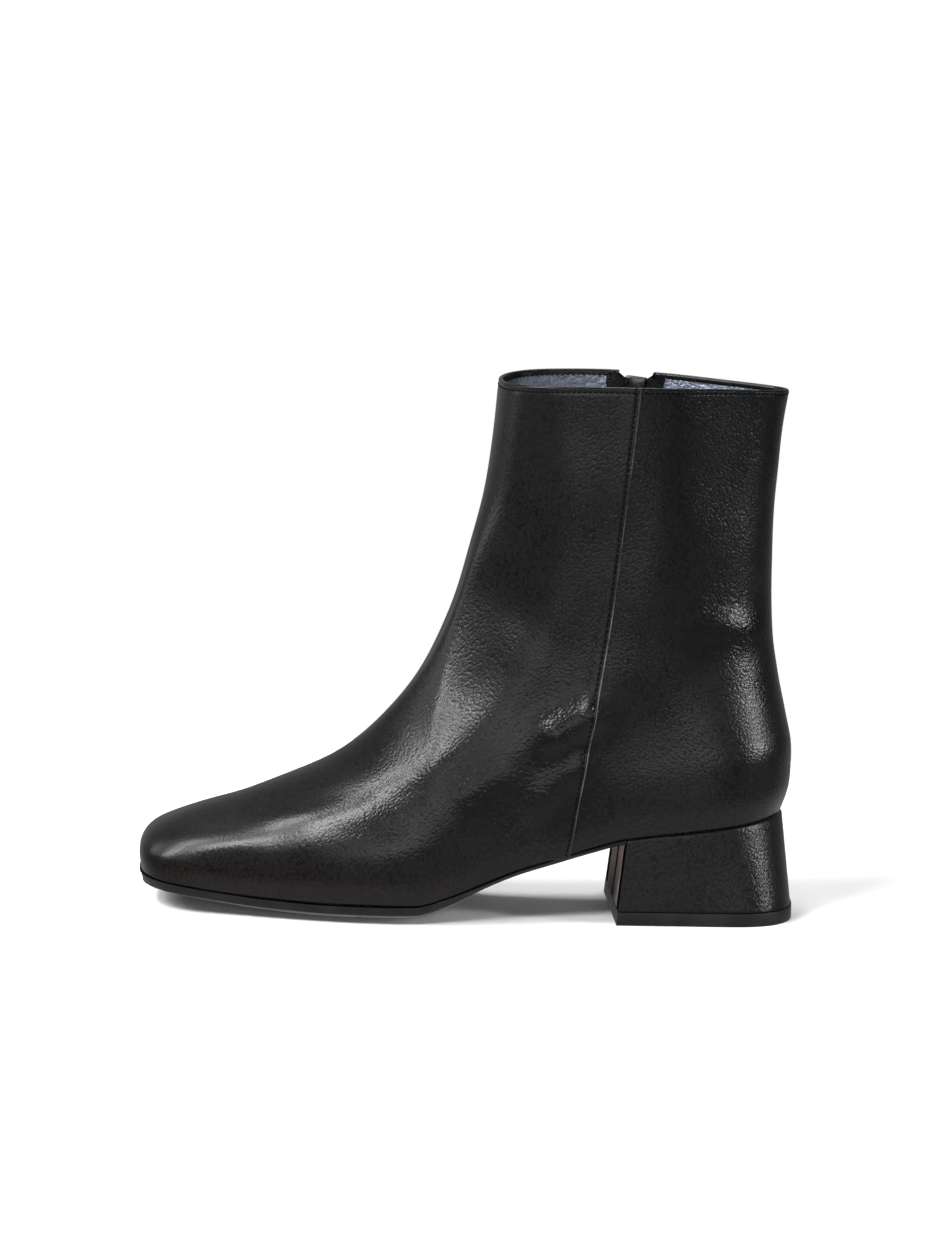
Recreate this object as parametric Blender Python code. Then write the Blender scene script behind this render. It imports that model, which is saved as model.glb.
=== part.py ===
"""A left ankle boot with a soft square toe, a covered block heel and a zip on its inner side.

+X points to the toe, +Y to the outer side and +Z up. The origin is on the floor, under the middle of the
boot. Sizes are in millimetres, and the meshes are made in metres.

The upper is one wall laid on the form of the last. The form is a stack of closed sections, from the feather
line, where the upper meets the sole, up to the collar. Each section runs round the boot in plan, and its
size and shape come from one row of SECTIONS.
"""

import math
from collections import namedtuple

import bmesh
import bpy
import numpy as np
from mathutils import Matrix, Vector

MM = 0.001

# Driving sizes
HEEL_AXIS_Y = 1.32      # the heel's middle line, so that the boot's box is centred on Y
WALL = 2.0              # leather with its lining
FIT = 0.3               # the gap where two pieces meet
SOLE_THICK = 3.4        # outsole under the forefoot
WAIST_THICK = 1.6       # outsole under the arch
SOLE_PROUD = 0.5        # how far the outsole stands out past the feather line
EDGE_ROUND = 1.0        # how far its lower edge is rounded in
INSOLE_THICK = 2.2
INSOLE_EASE = 0.9       # between the insole's edge and the wall
LIFT_THICK = 5.2        # rubber top piece under the heel
BREAST_TOP_X = -61.5    # front face of the heel, at its top
BREAST_BASE_X = -58.0   # and at the floor
HEEL_BASE_BACK_X = -129.0
HEEL_BASE_HALF = 31.5
HEEL_BASE_CAP = 30.0    # length of the rounded back of the heel's base
HEEL_BASE_POWER = 2.7   # 2 is an ellipse, and more is squarer
TOE_FLAT = (22.0, 52.0) # the stretch of the forefoot that lies on the floor
TREAD_FLAT = 0.5        # share of the tread's half width that is flat
TREAD_END = 12.0        # half width under which the tread closes at its ends

# The sections of the last, from the sole up. back and front are the section's end points on the side
# view. rear, mid, fore and tip are half widths at the shares of its length in WIDTH_AT. The two ends are
# superellipses, of a length (cap) and a power, where 2 is an ellipse and more is squarer. follow is how far
# the section follows the sole's curve, and crown how far its sides stand over the straight line.
Section = namedtuple(
    "Section",
    "back_x back_z front_x front_z rear mid fore tip back_cap back_power front_cap front_power follow crown",
)
WIDTH_AT = (0.13, 0.42, 0.64, 0.93)
TOE_TAPER = 0.35  # how far the width goes on falling past the tip
CROWN_LEAN = 1.2  # over 1, the crown is highest towards the front
SECTIONS = (
    Section(-124.2, 42.3, 128.0, 13.6, 29.5, 30.0, 40.0, 30.5, 40, 2.2, 21, 3.2, 1.00, 0.0),    # feather line
    Section(-127.6, 53.0, 129.0, 20.6, 32.0, 32.0, 43.0, 31.5, 42, 2.2, 24, 3.1, 1.00, 0.0),    # fullest line
    Section(-127.8, 66.0, 125.4, 28.6, 31.8, 32.6, 42.6, 30.5, 43, 2.2, 32, 2.8, 0.95, 0.0),    # toe shoulder
    Section(-125.2, 80.0, 109.8, 36.6, 30.6, 33.0, 39.0, 28.5, 44, 2.1, 48, 2.4, 0.80, 0.0),    # toe box
    Section(-121.5, 96.0, 86.0, 45.2, 29.4, 33.0, 35.0, 26.0, 46, 2.1, 62, 2.1, 0.55, 0.0),     # vamp
    Section(-118.7, 114.0, 53.2, 60.2, 28.6, 32.6, 32.6, 27.0, 48, 2.0, 62, 2.0, 0.30, 0.0),    # instep
    Section(-117.5, 138.0, 26.6, 84.8, 28.0, 32.0, 31.8, 26.5, 52, 2.0, 58, 2.0, 0.10, 0.0),    # ankle bend
    Section(-117.6, 162.0, 10.0, 115.0, 27.2, 31.8, 32.0, 26.5, 58, 2.0, 52, 2.0, 0.00, 0.5),   # over the ankle
    Section(-118.9, 183.0, -0.3, 151.5, 26.2, 31.8, 32.8, 28.0, 66, 2.0, 40, 2.15, 0.00, 1.5),  # lower shaft
    Section(-120.2, 196.0, -5.2, 177.0, 25.4, 31.8, 33.4, 29.5, 72, 2.0, 32, 2.3, 0.00, 1.6),   # upper shaft
    Section(-121.8, 208.0, -8.4, 210.6, 24.6, 31.8, 34.0, 31.0, 78, 2.0, 24, 2.5, 0.00, 1.8),  # collar
)

# Along the boot: the height of the feather line, and how far the middle of the last lies to the outer side.
Station = namedtuple("Station", "x value")
FEATHER_HEIGHT = (
    Station(-124.2, 42.3), Station(-112, 40.2), Station(-90, 37.4), Station(-62, 34.0),
    Station(-48, 30.4), Station(-34, 26.2), Station(-20, 21.8), Station(-6, 16.2),
    Station(8, 11.0), Station(TOE_FLAT[0], 7.6), Station(TOE_FLAT[1], 7.6),
    Station(78, 8.4), Station(98, 10.0), Station(112, 11.6), Station(128, 13.6),
)
SWING = (
    Station(-129, 0.0), Station(-70, 0.6), Station(-20, 3.0), Station(35, -1.0),
    Station(85, -5.0), Station(129, -7.0),
)

# Seam and zip on the side view: their place along the boot at each height.
Height = namedtuple("Height", "z x")
SEAM_LINE = (Height(28, -39.0), Height(75, -46.0), Height(121, -52.8), Height(165, -57.2), Height(212, -61.4))
ZIP_LINE = (Height(28, -46.0), Height(75, -50.5), Height(121, -56.0), Height(165, -60.5), Height(212, -65.0))
ZIP_HALF = 4.7          # half the slot's width where the zip is closed
ZIP_MOUTH_HALF = 7.2    # and at the collar, where the tape ends spread
ZIP_MOUTH = 17.0        # height of the spread part, under the collar
ZIP_FOOT = 20.0         # length of the slot's tapered lower end
ZIP_END_Z = 58.0        # height of the slot's lower end
TAPE_THICK = 1.0
TAPE_DEPTH = 0.5        # the tape's outer face under the leather's
TOOTH_WIDTH = 1.7       # the coil along each tape's inner edge
TOOTH_STEP = 0.6        # how far the coil stands out on both sides of the tape
SLIDER_DROP = 7.4       # slider's middle under the collar
SLIDER_SIZE = (8.0, 10.0)
SLIDER_PLATE = 1.1
SLIDER_GAP = 3.0        # between its plates
SLIDER_POST = (1.7, 2.6)
SLIDER_POST_RISE = 3.4  # the post over the slider's middle, in the spread of the tapes
CROWN_SIZE = (1.8, 5.2, 2.9)
CROWN_MOUTH = (2.9, 1.9)
CROWN_Y = -0.5
PULL_SIZE = (5.6, 23.0, 1.0)
PULL_WINDOW = (3.0, 4.6)
PULL_BAR = 1.1          # thickness of its cross bar, under the crown

# Mesh sizes
RING_COUNT = 23
SPAN_STEPS = (23, 24, 11, 11)  # zip to toe, toe to seam, seam to back, back to zip
SPAN_CROWD = (                 # the first two crowd towards the toe
    lambda u: 1 - (1 - u) ** 1.5,
    lambda u: u**1.5,
    lambda u: u,
    lambda u: u,
)
SOLE_STEPS = (36, 8)
HEEL_STEPS = (20, 6)

Finish = namedtuple("Finish", "colour roughness metallic")
FINISHES = {
    "black_leather": Finish((0.012, 0.012, 0.013), 0.42, 0.0),
    "heel_leather": Finish((0.014, 0.014, 0.016), 0.45, 0.0),
    "sole_rubber": Finish((0.016, 0.016, 0.017), 0.6, 0.0),
    "grey_lining": Finish((0.12, 0.13, 0.16), 0.5, 0.0),
    "zip_tape": Finish((0.010, 0.010, 0.011), 0.85, 0.0),
    "dark_metal": Finish((0.05, 0.05, 0.055), 0.3, 1.0),
}


def smooth(xs, ys, at):
    """A monotone cubic through the points: it never swings past them."""
    xs, ys, at = (np.asarray(values, float) for values in (xs, ys, at))
    step = np.diff(xs)
    slope = np.diff(ys) / step
    bends = slope[:-1] * slope[1:]
    inner = np.where(bends > 0, 2 * bends / np.where(bends > 0, slope[:-1] + slope[1:], 1), 0)
    tangent = np.concatenate([slope[:1], inner, slope[-1:]])
    i = np.clip(np.searchsorted(xs, at) - 1, 0, len(step) - 1)
    t = np.clip((at - xs[i]) / step[i], 0, 1)
    rise = ys[i] * (2 * t**3 - 3 * t**2 + 1) + ys[i + 1] * (3 * t**2 - 2 * t**3)
    return rise + step[i] * (tangent[i] * (t**3 - 2 * t**2 + t) + tangent[i + 1] * (t**3 - t**2))


def along(stations, at):
    return smooth([s.x for s in stations], [s.value for s in stations], at)


def line_x(line, z):
    return smooth([h.z for h in line], [h.x for h in line], z)


def level_of(rows):
    """How far up the form each row lies: the mean of its steps along the front and the back."""
    points = np.array([[r.back_x, r.back_z, r.front_x, r.front_z] for r in rows])
    steps = np.diff(points, axis=0)
    mean = (np.hypot(steps[:, 0], steps[:, 1]) + np.hypot(steps[:, 2], steps[:, 3])) / 2
    return np.concatenate([[0.0], np.cumsum(mean)])


LEVELS = level_of(SECTIONS)
TOP = LEVELS[-1]


def section_at(level):
    return Section(*(float(smooth(LEVELS, column, level)) for column in zip(*SECTIONS)))


def half_outline(s, steps=40):
    """(x, half width) along one side of a section, from its back end to its front end."""
    angle = np.linspace(0, math.pi / 2, steps)
    back = s.back_cap * (1 - np.cos(angle) ** (2 / s.back_power))
    front = s.front_cap * (1 - np.cos(angle) ** (2 / s.front_power))
    side = np.linspace(s.back_x + s.back_cap, s.front_x - s.front_cap, steps)[1:-1]
    x = np.concatenate([s.back_x + back, side, (s.front_x - front)[::-1]])
    back_round, front_round = (np.sin(angle) ** (2 / power) for power in (s.back_power, s.front_power))
    round_off = np.concatenate([back_round, np.ones(len(side)), front_round[::-1]])
    share = (x - s.back_x) / (s.front_x - s.back_x)
    ends = (0.0, *WIDTH_AT, 1.0)
    widths = (s.rear, s.rear, s.mid, s.fore, s.tip, s.tip - TOE_TAPER * (s.fore - s.tip))
    return x, round_off * smooth(ends, widths, share)


def section_height(s, x):
    """The section's height along the boot: a straight line, bent as far as it follows the sole."""
    share = (x - s.back_x) / (s.front_x - s.back_x)
    sole = along(FEATHER_HEIGHT, x)
    sole_line = (1 - share) * along(FEATHER_HEIGHT, s.back_x) + share * along(FEATHER_HEIGHT, s.front_x)
    straight = (1 - share) * s.back_z + share * s.front_z
    hump = share**CROWN_LEAN
    return straight + s.follow * (sole - sole_line) + s.crown * 4 * hump * (1 - hump)


def middle_y(x, follow):
    return HEEL_AXIS_Y + follow * along(SWING, x)


def ring(level):
    """A section as a closed line of points: back, inner side, toe, outer side, back."""
    s = section_at(level)
    x, half = half_outline(s)
    z = section_height(s, x)
    middle = middle_y(x, min(1.0, s.follow * 1.25))
    inner = np.stack([x, middle - half, z], axis=1)
    outer = np.stack([x, middle + half, z], axis=1)
    return inner, outer


def crossing(side, line):
    """Where a side of a ring meets a line of the side view, as a share of the side's points."""
    past = side[:, 0] - line_x(line, side[:, 2])
    return float(np.interp(0.0, past, np.arange(len(side))))


def slot_half(z, top_z):
    """Half the zip slot's width at a height."""
    foot = math.sqrt(min(max((z - ZIP_END_Z) / ZIP_FOOT, 0.0), 1.0))
    mouth = min(max(1 - (top_z - z) / ZIP_MOUTH, 0.0), 1.0)
    return ZIP_HALF * foot + (ZIP_MOUTH_HALF - ZIP_HALF) * mouth**1.15


class Loop:
    """A ring measured along its length, from the back round the inner side, the toe and the outer side."""

    def __init__(self, level):
        inner, outer = ring(level)
        self.points = np.concatenate([inner, outer[-2::-1]])
        steps = np.linalg.norm(np.diff(self.points, axis=0), axis=1)
        self.length = np.concatenate([[0.0], np.cumsum(steps)])
        index = np.arange(len(self.points))
        last = len(inner) - 1
        self.toe = self.length[last]
        self.seam = float(np.interp(2 * last - crossing(outer, SEAM_LINE), index, self.length))
        self.zip = float(np.interp(crossing(inner, ZIP_LINE), index, self.length))
        self.whole = self.length[-1]
        self.slot = slot_half(self.at(self.zip)[2], SECTIONS[-1].front_z + SECTIONS[-1].crown / 2)

    def at(self, distance):
        distance = np.mod(distance, self.whole + 1e-9)
        return np.stack([np.interp(distance, self.length, self.points[:, k]) for k in range(3)], axis=-1)

    def columns(self):
        """Points from the zip's front edge round the toe, the seam and the back to its rear edge."""
        marks = (self.zip + self.slot, self.toe, self.seam, self.whole, self.whole + self.zip - self.slot)
        spans = [
            start + (end - start) * crowd(np.arange(steps) / steps)
            for start, end, steps, crowd in zip(marks, marks[1:], SPAN_STEPS, SPAN_CROWD)
        ]
        return self.at(np.concatenate([*spans, marks[-1:]]))


def material(name):
    found = bpy.data.materials.get(name)
    if found:
        return found
    finish = FINISHES[name]
    made = bpy.data.materials.new(name)
    made.use_nodes = True
    shader = made.node_tree.nodes["Principled BSDF"]
    shader.inputs["Base Color"].default_value = (*finish.colour, 1.0)
    shader.inputs["Roughness"].default_value = finish.roughness
    shader.inputs["Metallic"].default_value = finish.metallic
    return made


def add_object(name, bm, finish, boot, smooth_angle=40):
    mesh = bpy.data.meshes.new(name)
    bm.to_mesh(mesh)
    bm.free()
    mesh.shade_smooth()
    mesh.set_sharp_from_angle(angle=math.radians(smooth_angle))
    mesh.materials.append(material(finish))
    made = bpy.data.objects.new(name, mesh)
    bpy.context.scene.collection.objects.link(made)
    made.parent = boot
    return made


def mapped_grid(columns, rows, place):
    """A grid whose points are moved to place(across, along), both from 0 to 1."""
    bm = bmesh.new()
    bmesh.ops.create_grid(bm, x_segments=columns, y_segments=rows, size=1.0)
    for vert in bm.verts:
        vert.co = Vector(place((vert.co.x + 1) / 2, (vert.co.y + 1) / 2)) * MM
    return bm


def plate(columns, rows, top, bottom):
    """A closed solid between two surfaces, each a function of a share across and a share along."""
    bm = bmesh.new()
    bmesh.ops.create_grid(bm, x_segments=columns, y_segments=rows, size=1.0)
    made = bmesh.ops.extrude_face_region(bm, geom=bm.faces[:])
    lower = [item for item in made["geom"] if isinstance(item, bmesh.types.BMVert)]
    upper = set(bm.verts) - set(lower)
    for verts, place in ((upper, top), (lower, bottom)):
        for vert in verts:
            vert.co = Vector(place((vert.co.x + 1) / 2, (vert.co.y + 1) / 2)) * MM
    bmesh.ops.remove_doubles(bm, verts=bm.verts, dist=0.01 * MM)
    bmesh.ops.dissolve_degenerate(bm, edges=bm.edges, dist=0.001 * MM)
    bmesh.ops.recalc_face_normals(bm, faces=bm.faces)
    if bm.calc_volume(signed=True) < 0:
        bmesh.ops.reverse_faces(bm, faces=bm.faces)
    return bm


def make_upper(boot):
    """The wall from the feather line to the collar, open underneath and along the zip."""
    levels = np.linspace(0, TOP, RING_COUNT)
    points = np.array([Loop(level).columns() for level in levels])
    columns = sum(SPAN_STEPS)
    bm = mapped_grid(
        columns, RING_COUNT - 1,
        lambda u, v: points[round(v * (RING_COUNT - 1)), round(u * columns)],
    )
    bmesh.ops.remove_doubles(bm, verts=bm.verts, dist=0.01 * MM)
    upper = add_object("upper", bm, "black_leather", boot, 60)
    wall = upper.modifiers.new("wall", "SOLIDIFY")
    wall.thickness = WALL * MM
    wall.offset = -1.0
    wall.use_even_offset = True
    return upper


def foot_outline(inset):
    """(x, half width) along the feather line, moved in by a distance, from the heel to the toe."""
    x, half = half_outline(SECTIONS[0], 60)
    dx, dw = np.gradient(x), np.gradient(half)
    size = np.hypot(dx, dw)
    new_x, new_half = x + inset * dw / size, half - inset * dx / size
    back, front = x[0] + inset, x[-1] - inset
    keep = (new_half > 0.2) & (new_x > back) & (new_x < front)
    return np.array([back, *new_x[keep], front]), np.array([0.0, *new_half[keep], 0.0])


def even(outline, count, start_x=None):
    """The outline cut into equal steps along its length, from start_x to the toe."""
    x, half = outline
    if start_x is not None:
        keep = x > start_x
        half = np.concatenate([[np.interp(start_x, x, half)], half[keep]])
        x = np.concatenate([[start_x], x[keep]])
    length = np.concatenate([[0.0], np.cumsum(np.hypot(np.diff(x), np.diff(half)))])
    at = np.linspace(0, length[-1], count + 1)
    return np.interp(at, length, x), np.interp(at, length, half)


def tread_rise(share, half):
    """How far the sole's surface rises from its flat middle to its edge or its end, from 0 to 1."""
    edge = max(0.0, (abs(share) - TREAD_FLAT) / (1 - TREAD_FLAT)) ** 2
    return max(edge, 1 - min(1.0, half / TREAD_END))


def sole_thickness(x):
    return along((Station(-62, WAIST_THICK), Station(-10, WAIST_THICK), Station(14, SOLE_THICK),
                  Station(130, SOLE_THICK)), x)


def sole_hollow(x):
    """How far the middle of the last's bottom lies under its edge."""
    ball = along(FEATHER_HEIGHT, TOE_FLAT[0]) - FIT - SOLE_THICK
    return along((Station(-54, 0.0), Station(-20, 1.4), Station(TOE_FLAT[0], ball),
                  Station(TOE_FLAT[1], ball), Station(128, 1.6)), x)


def bottom_of_last(x, share, half):
    return along(FEATHER_HEIGHT, x) - sole_hollow(x) * (1 - tread_rise(share, half))


def sole_sheet(outline, lift, drop):
    """A surface over the outline, at a height over the last's bottom, less a share of the sole's thickness."""
    x, half = outline
    steps = len(x) - 1

    def place(across, length):
        i = round(length * steps)
        share = 2 * across - 1
        height = bottom_of_last(x[i], share, half[i]) + lift - drop * sole_thickness(x[i])
        return x[i], middle_y(x[i], 1.0) + share * half[i], max(height, 0.0)

    return place


def make_outsole(boot):
    along_steps, across_steps = SOLE_STEPS
    start = BREAST_TOP_X + FIT
    top = even(foot_outline(-SOLE_PROUD), along_steps, start)
    base = even(foot_outline(EDGE_ROUND), along_steps, start)
    bm = plate(across_steps, along_steps, sole_sheet(top, -FIT, 0), sole_sheet(base, -FIT, 1))
    return add_object("outsole", bm, "sole_rubber", boot)


def make_insole(boot):
    along_steps, across_steps = SOLE_STEPS
    line = even(foot_outline(WALL + INSOLE_EASE), along_steps)
    bm = plate(across_steps, along_steps, sole_sheet(line, INSOLE_THICK, 0), sole_sheet(line, 0, 0))
    return add_object("insole", bm, "grey_lining", boot)


def heel_seat(x):
    """Half width of the heel's top, just inside the feather line."""
    line_of_x, half = foot_outline(FIT)
    return np.interp(x, line_of_x, half)


def heel_base(x, grow=0.0):
    share = np.clip((x - HEEL_BASE_BACK_X + grow) / HEEL_BASE_CAP, 0, 1)
    return (HEEL_BASE_HALF + grow) * (1 - (1 - share) ** HEEL_BASE_POWER) ** (1 / HEEL_BASE_POWER)


def heel_stations(front_x, back_x):
    """Places along the heel from its back to its breast, closer together round the back."""
    steps = HEEL_STEPS[0]
    return [back_x + (front_x - back_x) * (1 - math.cos(math.pi / 2 * i / steps)) for i in range(steps + 1)]


def breast_x(z):
    share = z / along(FEATHER_HEIGHT, BREAST_TOP_X)
    return BREAST_BASE_X + (BREAST_TOP_X - BREAST_BASE_X) * share


def heel_level(z, half_width, back_x):
    """A flat slice of the heel at one height."""
    stations = heel_stations(breast_x(z), back_x)

    def place(across, length):
        x = stations[round(length * HEEL_STEPS[0])]
        return x, HEEL_AXIS_Y + (2 * across - 1) * half_width(x), z

    return place


def make_heel(boot):
    """The covered block, from the top piece up to the seat under the upper."""
    seat_back = SECTIONS[0].back_x + FIT
    stations = heel_stations(BREAST_TOP_X, seat_back)

    def seat(across, length):
        x = stations[round(length * HEEL_STEPS[0])]
        return x, HEEL_AXIS_Y + (2 * across - 1) * heel_seat(x), along(FEATHER_HEIGHT, x) - FIT

    base = heel_level(LIFT_THICK + FIT, heel_base, HEEL_BASE_BACK_X)
    return add_object("heel_block", plate(HEEL_STEPS[1], HEEL_STEPS[0], seat, base), "heel_leather", boot)


def make_heel_lift(boot):
    top = heel_level(LIFT_THICK, heel_base, HEEL_BASE_BACK_X)
    base = heel_level(0.0, heel_base, HEEL_BASE_BACK_X)
    return add_object("heel_lift", plate(HEEL_STEPS[1], HEEL_STEPS[0], top, base), "sole_rubber", boot)


def zip_frame(level):
    """The zip at a level: the middle of the slot, the way to its front edge, and the way out of the boot."""
    loop = Loop(level)
    front, rear = loop.at(loop.zip + loop.slot + FIT), loop.at(loop.zip - loop.slot - FIT)
    ahead = (front - rear) / np.linalg.norm(front - rear)
    out = np.cross(ahead, [0.0, 0.0, 1.0])
    out = -out if out[1] > 0 else out
    return loop, ahead, out / np.linalg.norm(out)


def zip_level(drop):
    """The level whose zip lies this far under the collar."""
    levels = np.linspace(0, TOP, 120)
    loops = [Loop(level) for level in levels]
    heights = [loop.at(loop.zip)[2] for loop in loops]
    return float(np.interp(heights[-1] - drop, heights, levels))


def tape_profile(rows):
    """Levels of the tape from the slot's lower end to the collar, with the slot's size at each."""
    start = zip_level(Loop(TOP).at(Loop(TOP).zip)[2] - ZIP_END_Z - 0.5 * ZIP_FOOT)
    return [zip_frame(level) for level in np.linspace(start, TOP - FIT, rows + 1)]


def make_tape(boot, name, side, frames):
    """One tape with its coil: from 0.3 mm inside the slot's edge to the middle, or to the spread mouth."""
    rows = len(frames) - 1
    across = (0.0, 0.5, 1.0)  # outer edge, coil's edge, inner edge

    def surface(depth, coil_step):
        def place(u, v):
            loop, ahead, out = frames[round(v * rows)]
            edge = loop.slot - FIT
            inner = max(FIT / 2, loop.slot - ZIP_HALF)
            width = edge - inner
            coil = min(TOOTH_WIDTH, 0.6 * width)
            reach = (edge, inner + coil, inner)[round(u * (len(across) - 1))]
            step = coil_step if u > 0 else 0.0
            return loop.at(loop.zip) + side * reach * ahead + (depth + step) * out
        return place

    bm = plate(2, rows, surface(-TAPE_DEPTH, TOOTH_STEP), surface(-TAPE_DEPTH - TAPE_THICK, -TOOTH_STEP))
    return add_object(name, bm, "zip_tape", boot)


def box(bm, size, centre):
    made = bmesh.ops.create_cube(bm, size=1.0)["verts"]
    bmesh.ops.scale(bm, vec=[s * MM for s in size], verts=made)
    bmesh.ops.translate(bm, vec=[c * MM for c in centre], verts=made)
    return made


def helper(name, size, centre):
    """A box that a Boolean joins or cuts, left out of the finished boot."""
    bm = bmesh.new()
    box(bm, size, centre)
    mesh = bpy.data.meshes.new(name)
    bm.to_mesh(mesh)
    bm.free()
    made = bpy.data.objects.new(name, mesh)
    bpy.context.scene.collection.objects.link(made)
    made.hide_render = True
    made.display_type = "WIRE"
    return made


def combine(target, other, operation):
    other.parent = target.parent
    other.matrix_world = target.matrix_world
    change = target.modifiers.new(other.name, "BOOLEAN")
    change.operation = operation
    change.object = other
    change.solver = "EXACT"


def slider_place(boot):
    """The slider's own axes: X to the front edge of the slot, Y up the zip, Z out of the boot."""
    level = zip_level(SLIDER_DROP)
    loop, ahead, out = zip_frame(level)
    above = Loop(min(level + 2, TOP))
    up = above.at(above.zip) - loop.at(loop.zip)
    up = up - out * np.dot(up, out)
    up = up / np.linalg.norm(up)
    across = np.cross(up, out)
    place = Matrix.Identity(4)
    for k, axis in enumerate((across, up, out)):
        place.col[k][:3] = axis
    place.col[3][:3] = loop.at(loop.zip) * MM
    return place


def make_slider(boot, place):
    """Two plates that hold the tapes, joined by a post where the tapes spread, with a crown for the pull."""
    middle = -TAPE_DEPTH - TAPE_THICK / 2
    plate_z = (SLIDER_GAP + SLIDER_PLATE) / 2
    bm = bmesh.new()
    box(bm, (*SLIDER_SIZE, SLIDER_PLATE), (0, 0, middle + plate_z))
    slider = add_object("zip_slider", bm, "dark_metal", boot)
    slider.matrix_world = place
    crown_foot = middle + plate_z + SLIDER_PLATE / 2 - 0.2
    crown_z = crown_foot + CROWN_SIZE[2] / 2
    mouth_z = crown_foot + 0.2 + CROWN_MOUTH[1] / 2
    pieces = (
        ("slider_back", (*SLIDER_SIZE, SLIDER_PLATE), (0, 0, middle - plate_z), "UNION"),
        ("slider_post", (*SLIDER_POST, SLIDER_GAP + SLIDER_PLATE), (0, SLIDER_POST_RISE, middle), "UNION"),
        ("slider_crown", CROWN_SIZE, (0, CROWN_Y, crown_z), "UNION"),
        ("slider_crown_mouth", (2 * CROWN_SIZE[0], *CROWN_MOUTH), (0, CROWN_Y, mouth_z), "DIFFERENCE"),
    )
    for name, size, centre, operation in pieces:
        combine(slider, helper(name, size, centre), operation)
    return mouth_z


def make_pull(boot, place, axis_z):
    """The tab: a flat bar with a window, whose end bar lies under the slider's crown. It hangs down."""
    width, length, thick = PULL_SIZE
    window_width, window_length = PULL_WINDOW
    bm = bmesh.new()
    box(bm, PULL_SIZE, (0, PULL_BAR / 2 - length / 2, 0))
    pull = add_object("zip_pull", bm, "dark_metal", boot)
    pull.matrix_world = place @ Matrix.Translation(Vector((0, CROWN_Y, axis_z)) * MM)
    centre = (0, -PULL_BAR / 2 - window_length / 2, 0)
    combine(pull, helper("pull_window", (window_width, window_length, 3 * thick), centre), "DIFFERENCE")
    return pull


def main():
    for old in list(bpy.data.objects):
        bpy.data.objects.remove(old)
    boot = bpy.data.objects.new("ankle_boot", None)
    bpy.context.scene.collection.objects.link(boot)
    make_upper(boot)
    make_outsole(boot)
    make_insole(boot)
    make_heel(boot)
    make_heel_lift(boot)
    frames = tape_profile(26)
    make_tape(boot, "zip_tape_front", 1, frames)
    make_tape(boot, "zip_tape_back", -1, frames)
    place = slider_place(boot)
    axis_z = make_slider(boot, place)
    make_pull(boot, place, axis_z)
    bpy.context.view_layer.update()


main()
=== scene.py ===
"""The look of a left ankle boot: black leather over a soft square toe, a covered block heel, an inside zip.

+X points to the toe, +Y to the outer side and +Z up. Sizes are in millimetres, and the meshes in metres.
"""
import math
from collections import namedtuple

import bmesh
import bpy
import numpy as np
from mathutils import Matrix, Vector


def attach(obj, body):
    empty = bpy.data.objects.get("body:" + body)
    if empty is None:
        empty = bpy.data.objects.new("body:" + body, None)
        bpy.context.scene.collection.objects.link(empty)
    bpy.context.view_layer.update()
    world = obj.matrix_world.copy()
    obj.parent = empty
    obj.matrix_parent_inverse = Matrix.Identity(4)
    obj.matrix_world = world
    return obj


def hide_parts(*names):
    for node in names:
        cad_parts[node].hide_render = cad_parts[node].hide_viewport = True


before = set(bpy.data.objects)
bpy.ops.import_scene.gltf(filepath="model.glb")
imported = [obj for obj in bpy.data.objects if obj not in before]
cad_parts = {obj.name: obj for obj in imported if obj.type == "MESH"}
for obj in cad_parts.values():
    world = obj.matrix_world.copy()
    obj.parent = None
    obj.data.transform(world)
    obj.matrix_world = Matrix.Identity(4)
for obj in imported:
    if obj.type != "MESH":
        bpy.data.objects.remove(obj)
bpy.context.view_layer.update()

MM = 0.001

# The form of the last, the same as the part's own.
HEEL_AXIS_Y = 1.32
WALL = 2.0
FIT = 0.3
SOLE_THICK = 3.4
WAIST_THICK = 1.6
SOLE_PROUD = 0.5
EDGE_ROUND = 0.7
INSOLE_THICK = 2.2
INSOLE_EASE = 0.9
WRAP_PROUD = 0.5
TOP_PIECE_PROUD = 0.5
RIM_ROUND = 1.3
LIFT_THICK = 5.2
BREAST_TOP_X = -61.5
BREAST_BASE_X = -58.0
HEEL_BASE_BACK_X = -129.0
HEEL_BASE_HALF = 31.5
HEEL_BASE_CAP = 30.0
HEEL_BASE_POWER = 2.7
TOE_FLAT = (22.0, 52.0)
TREAD_FLAT = 0.5
TREAD_END = 12.0

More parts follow.
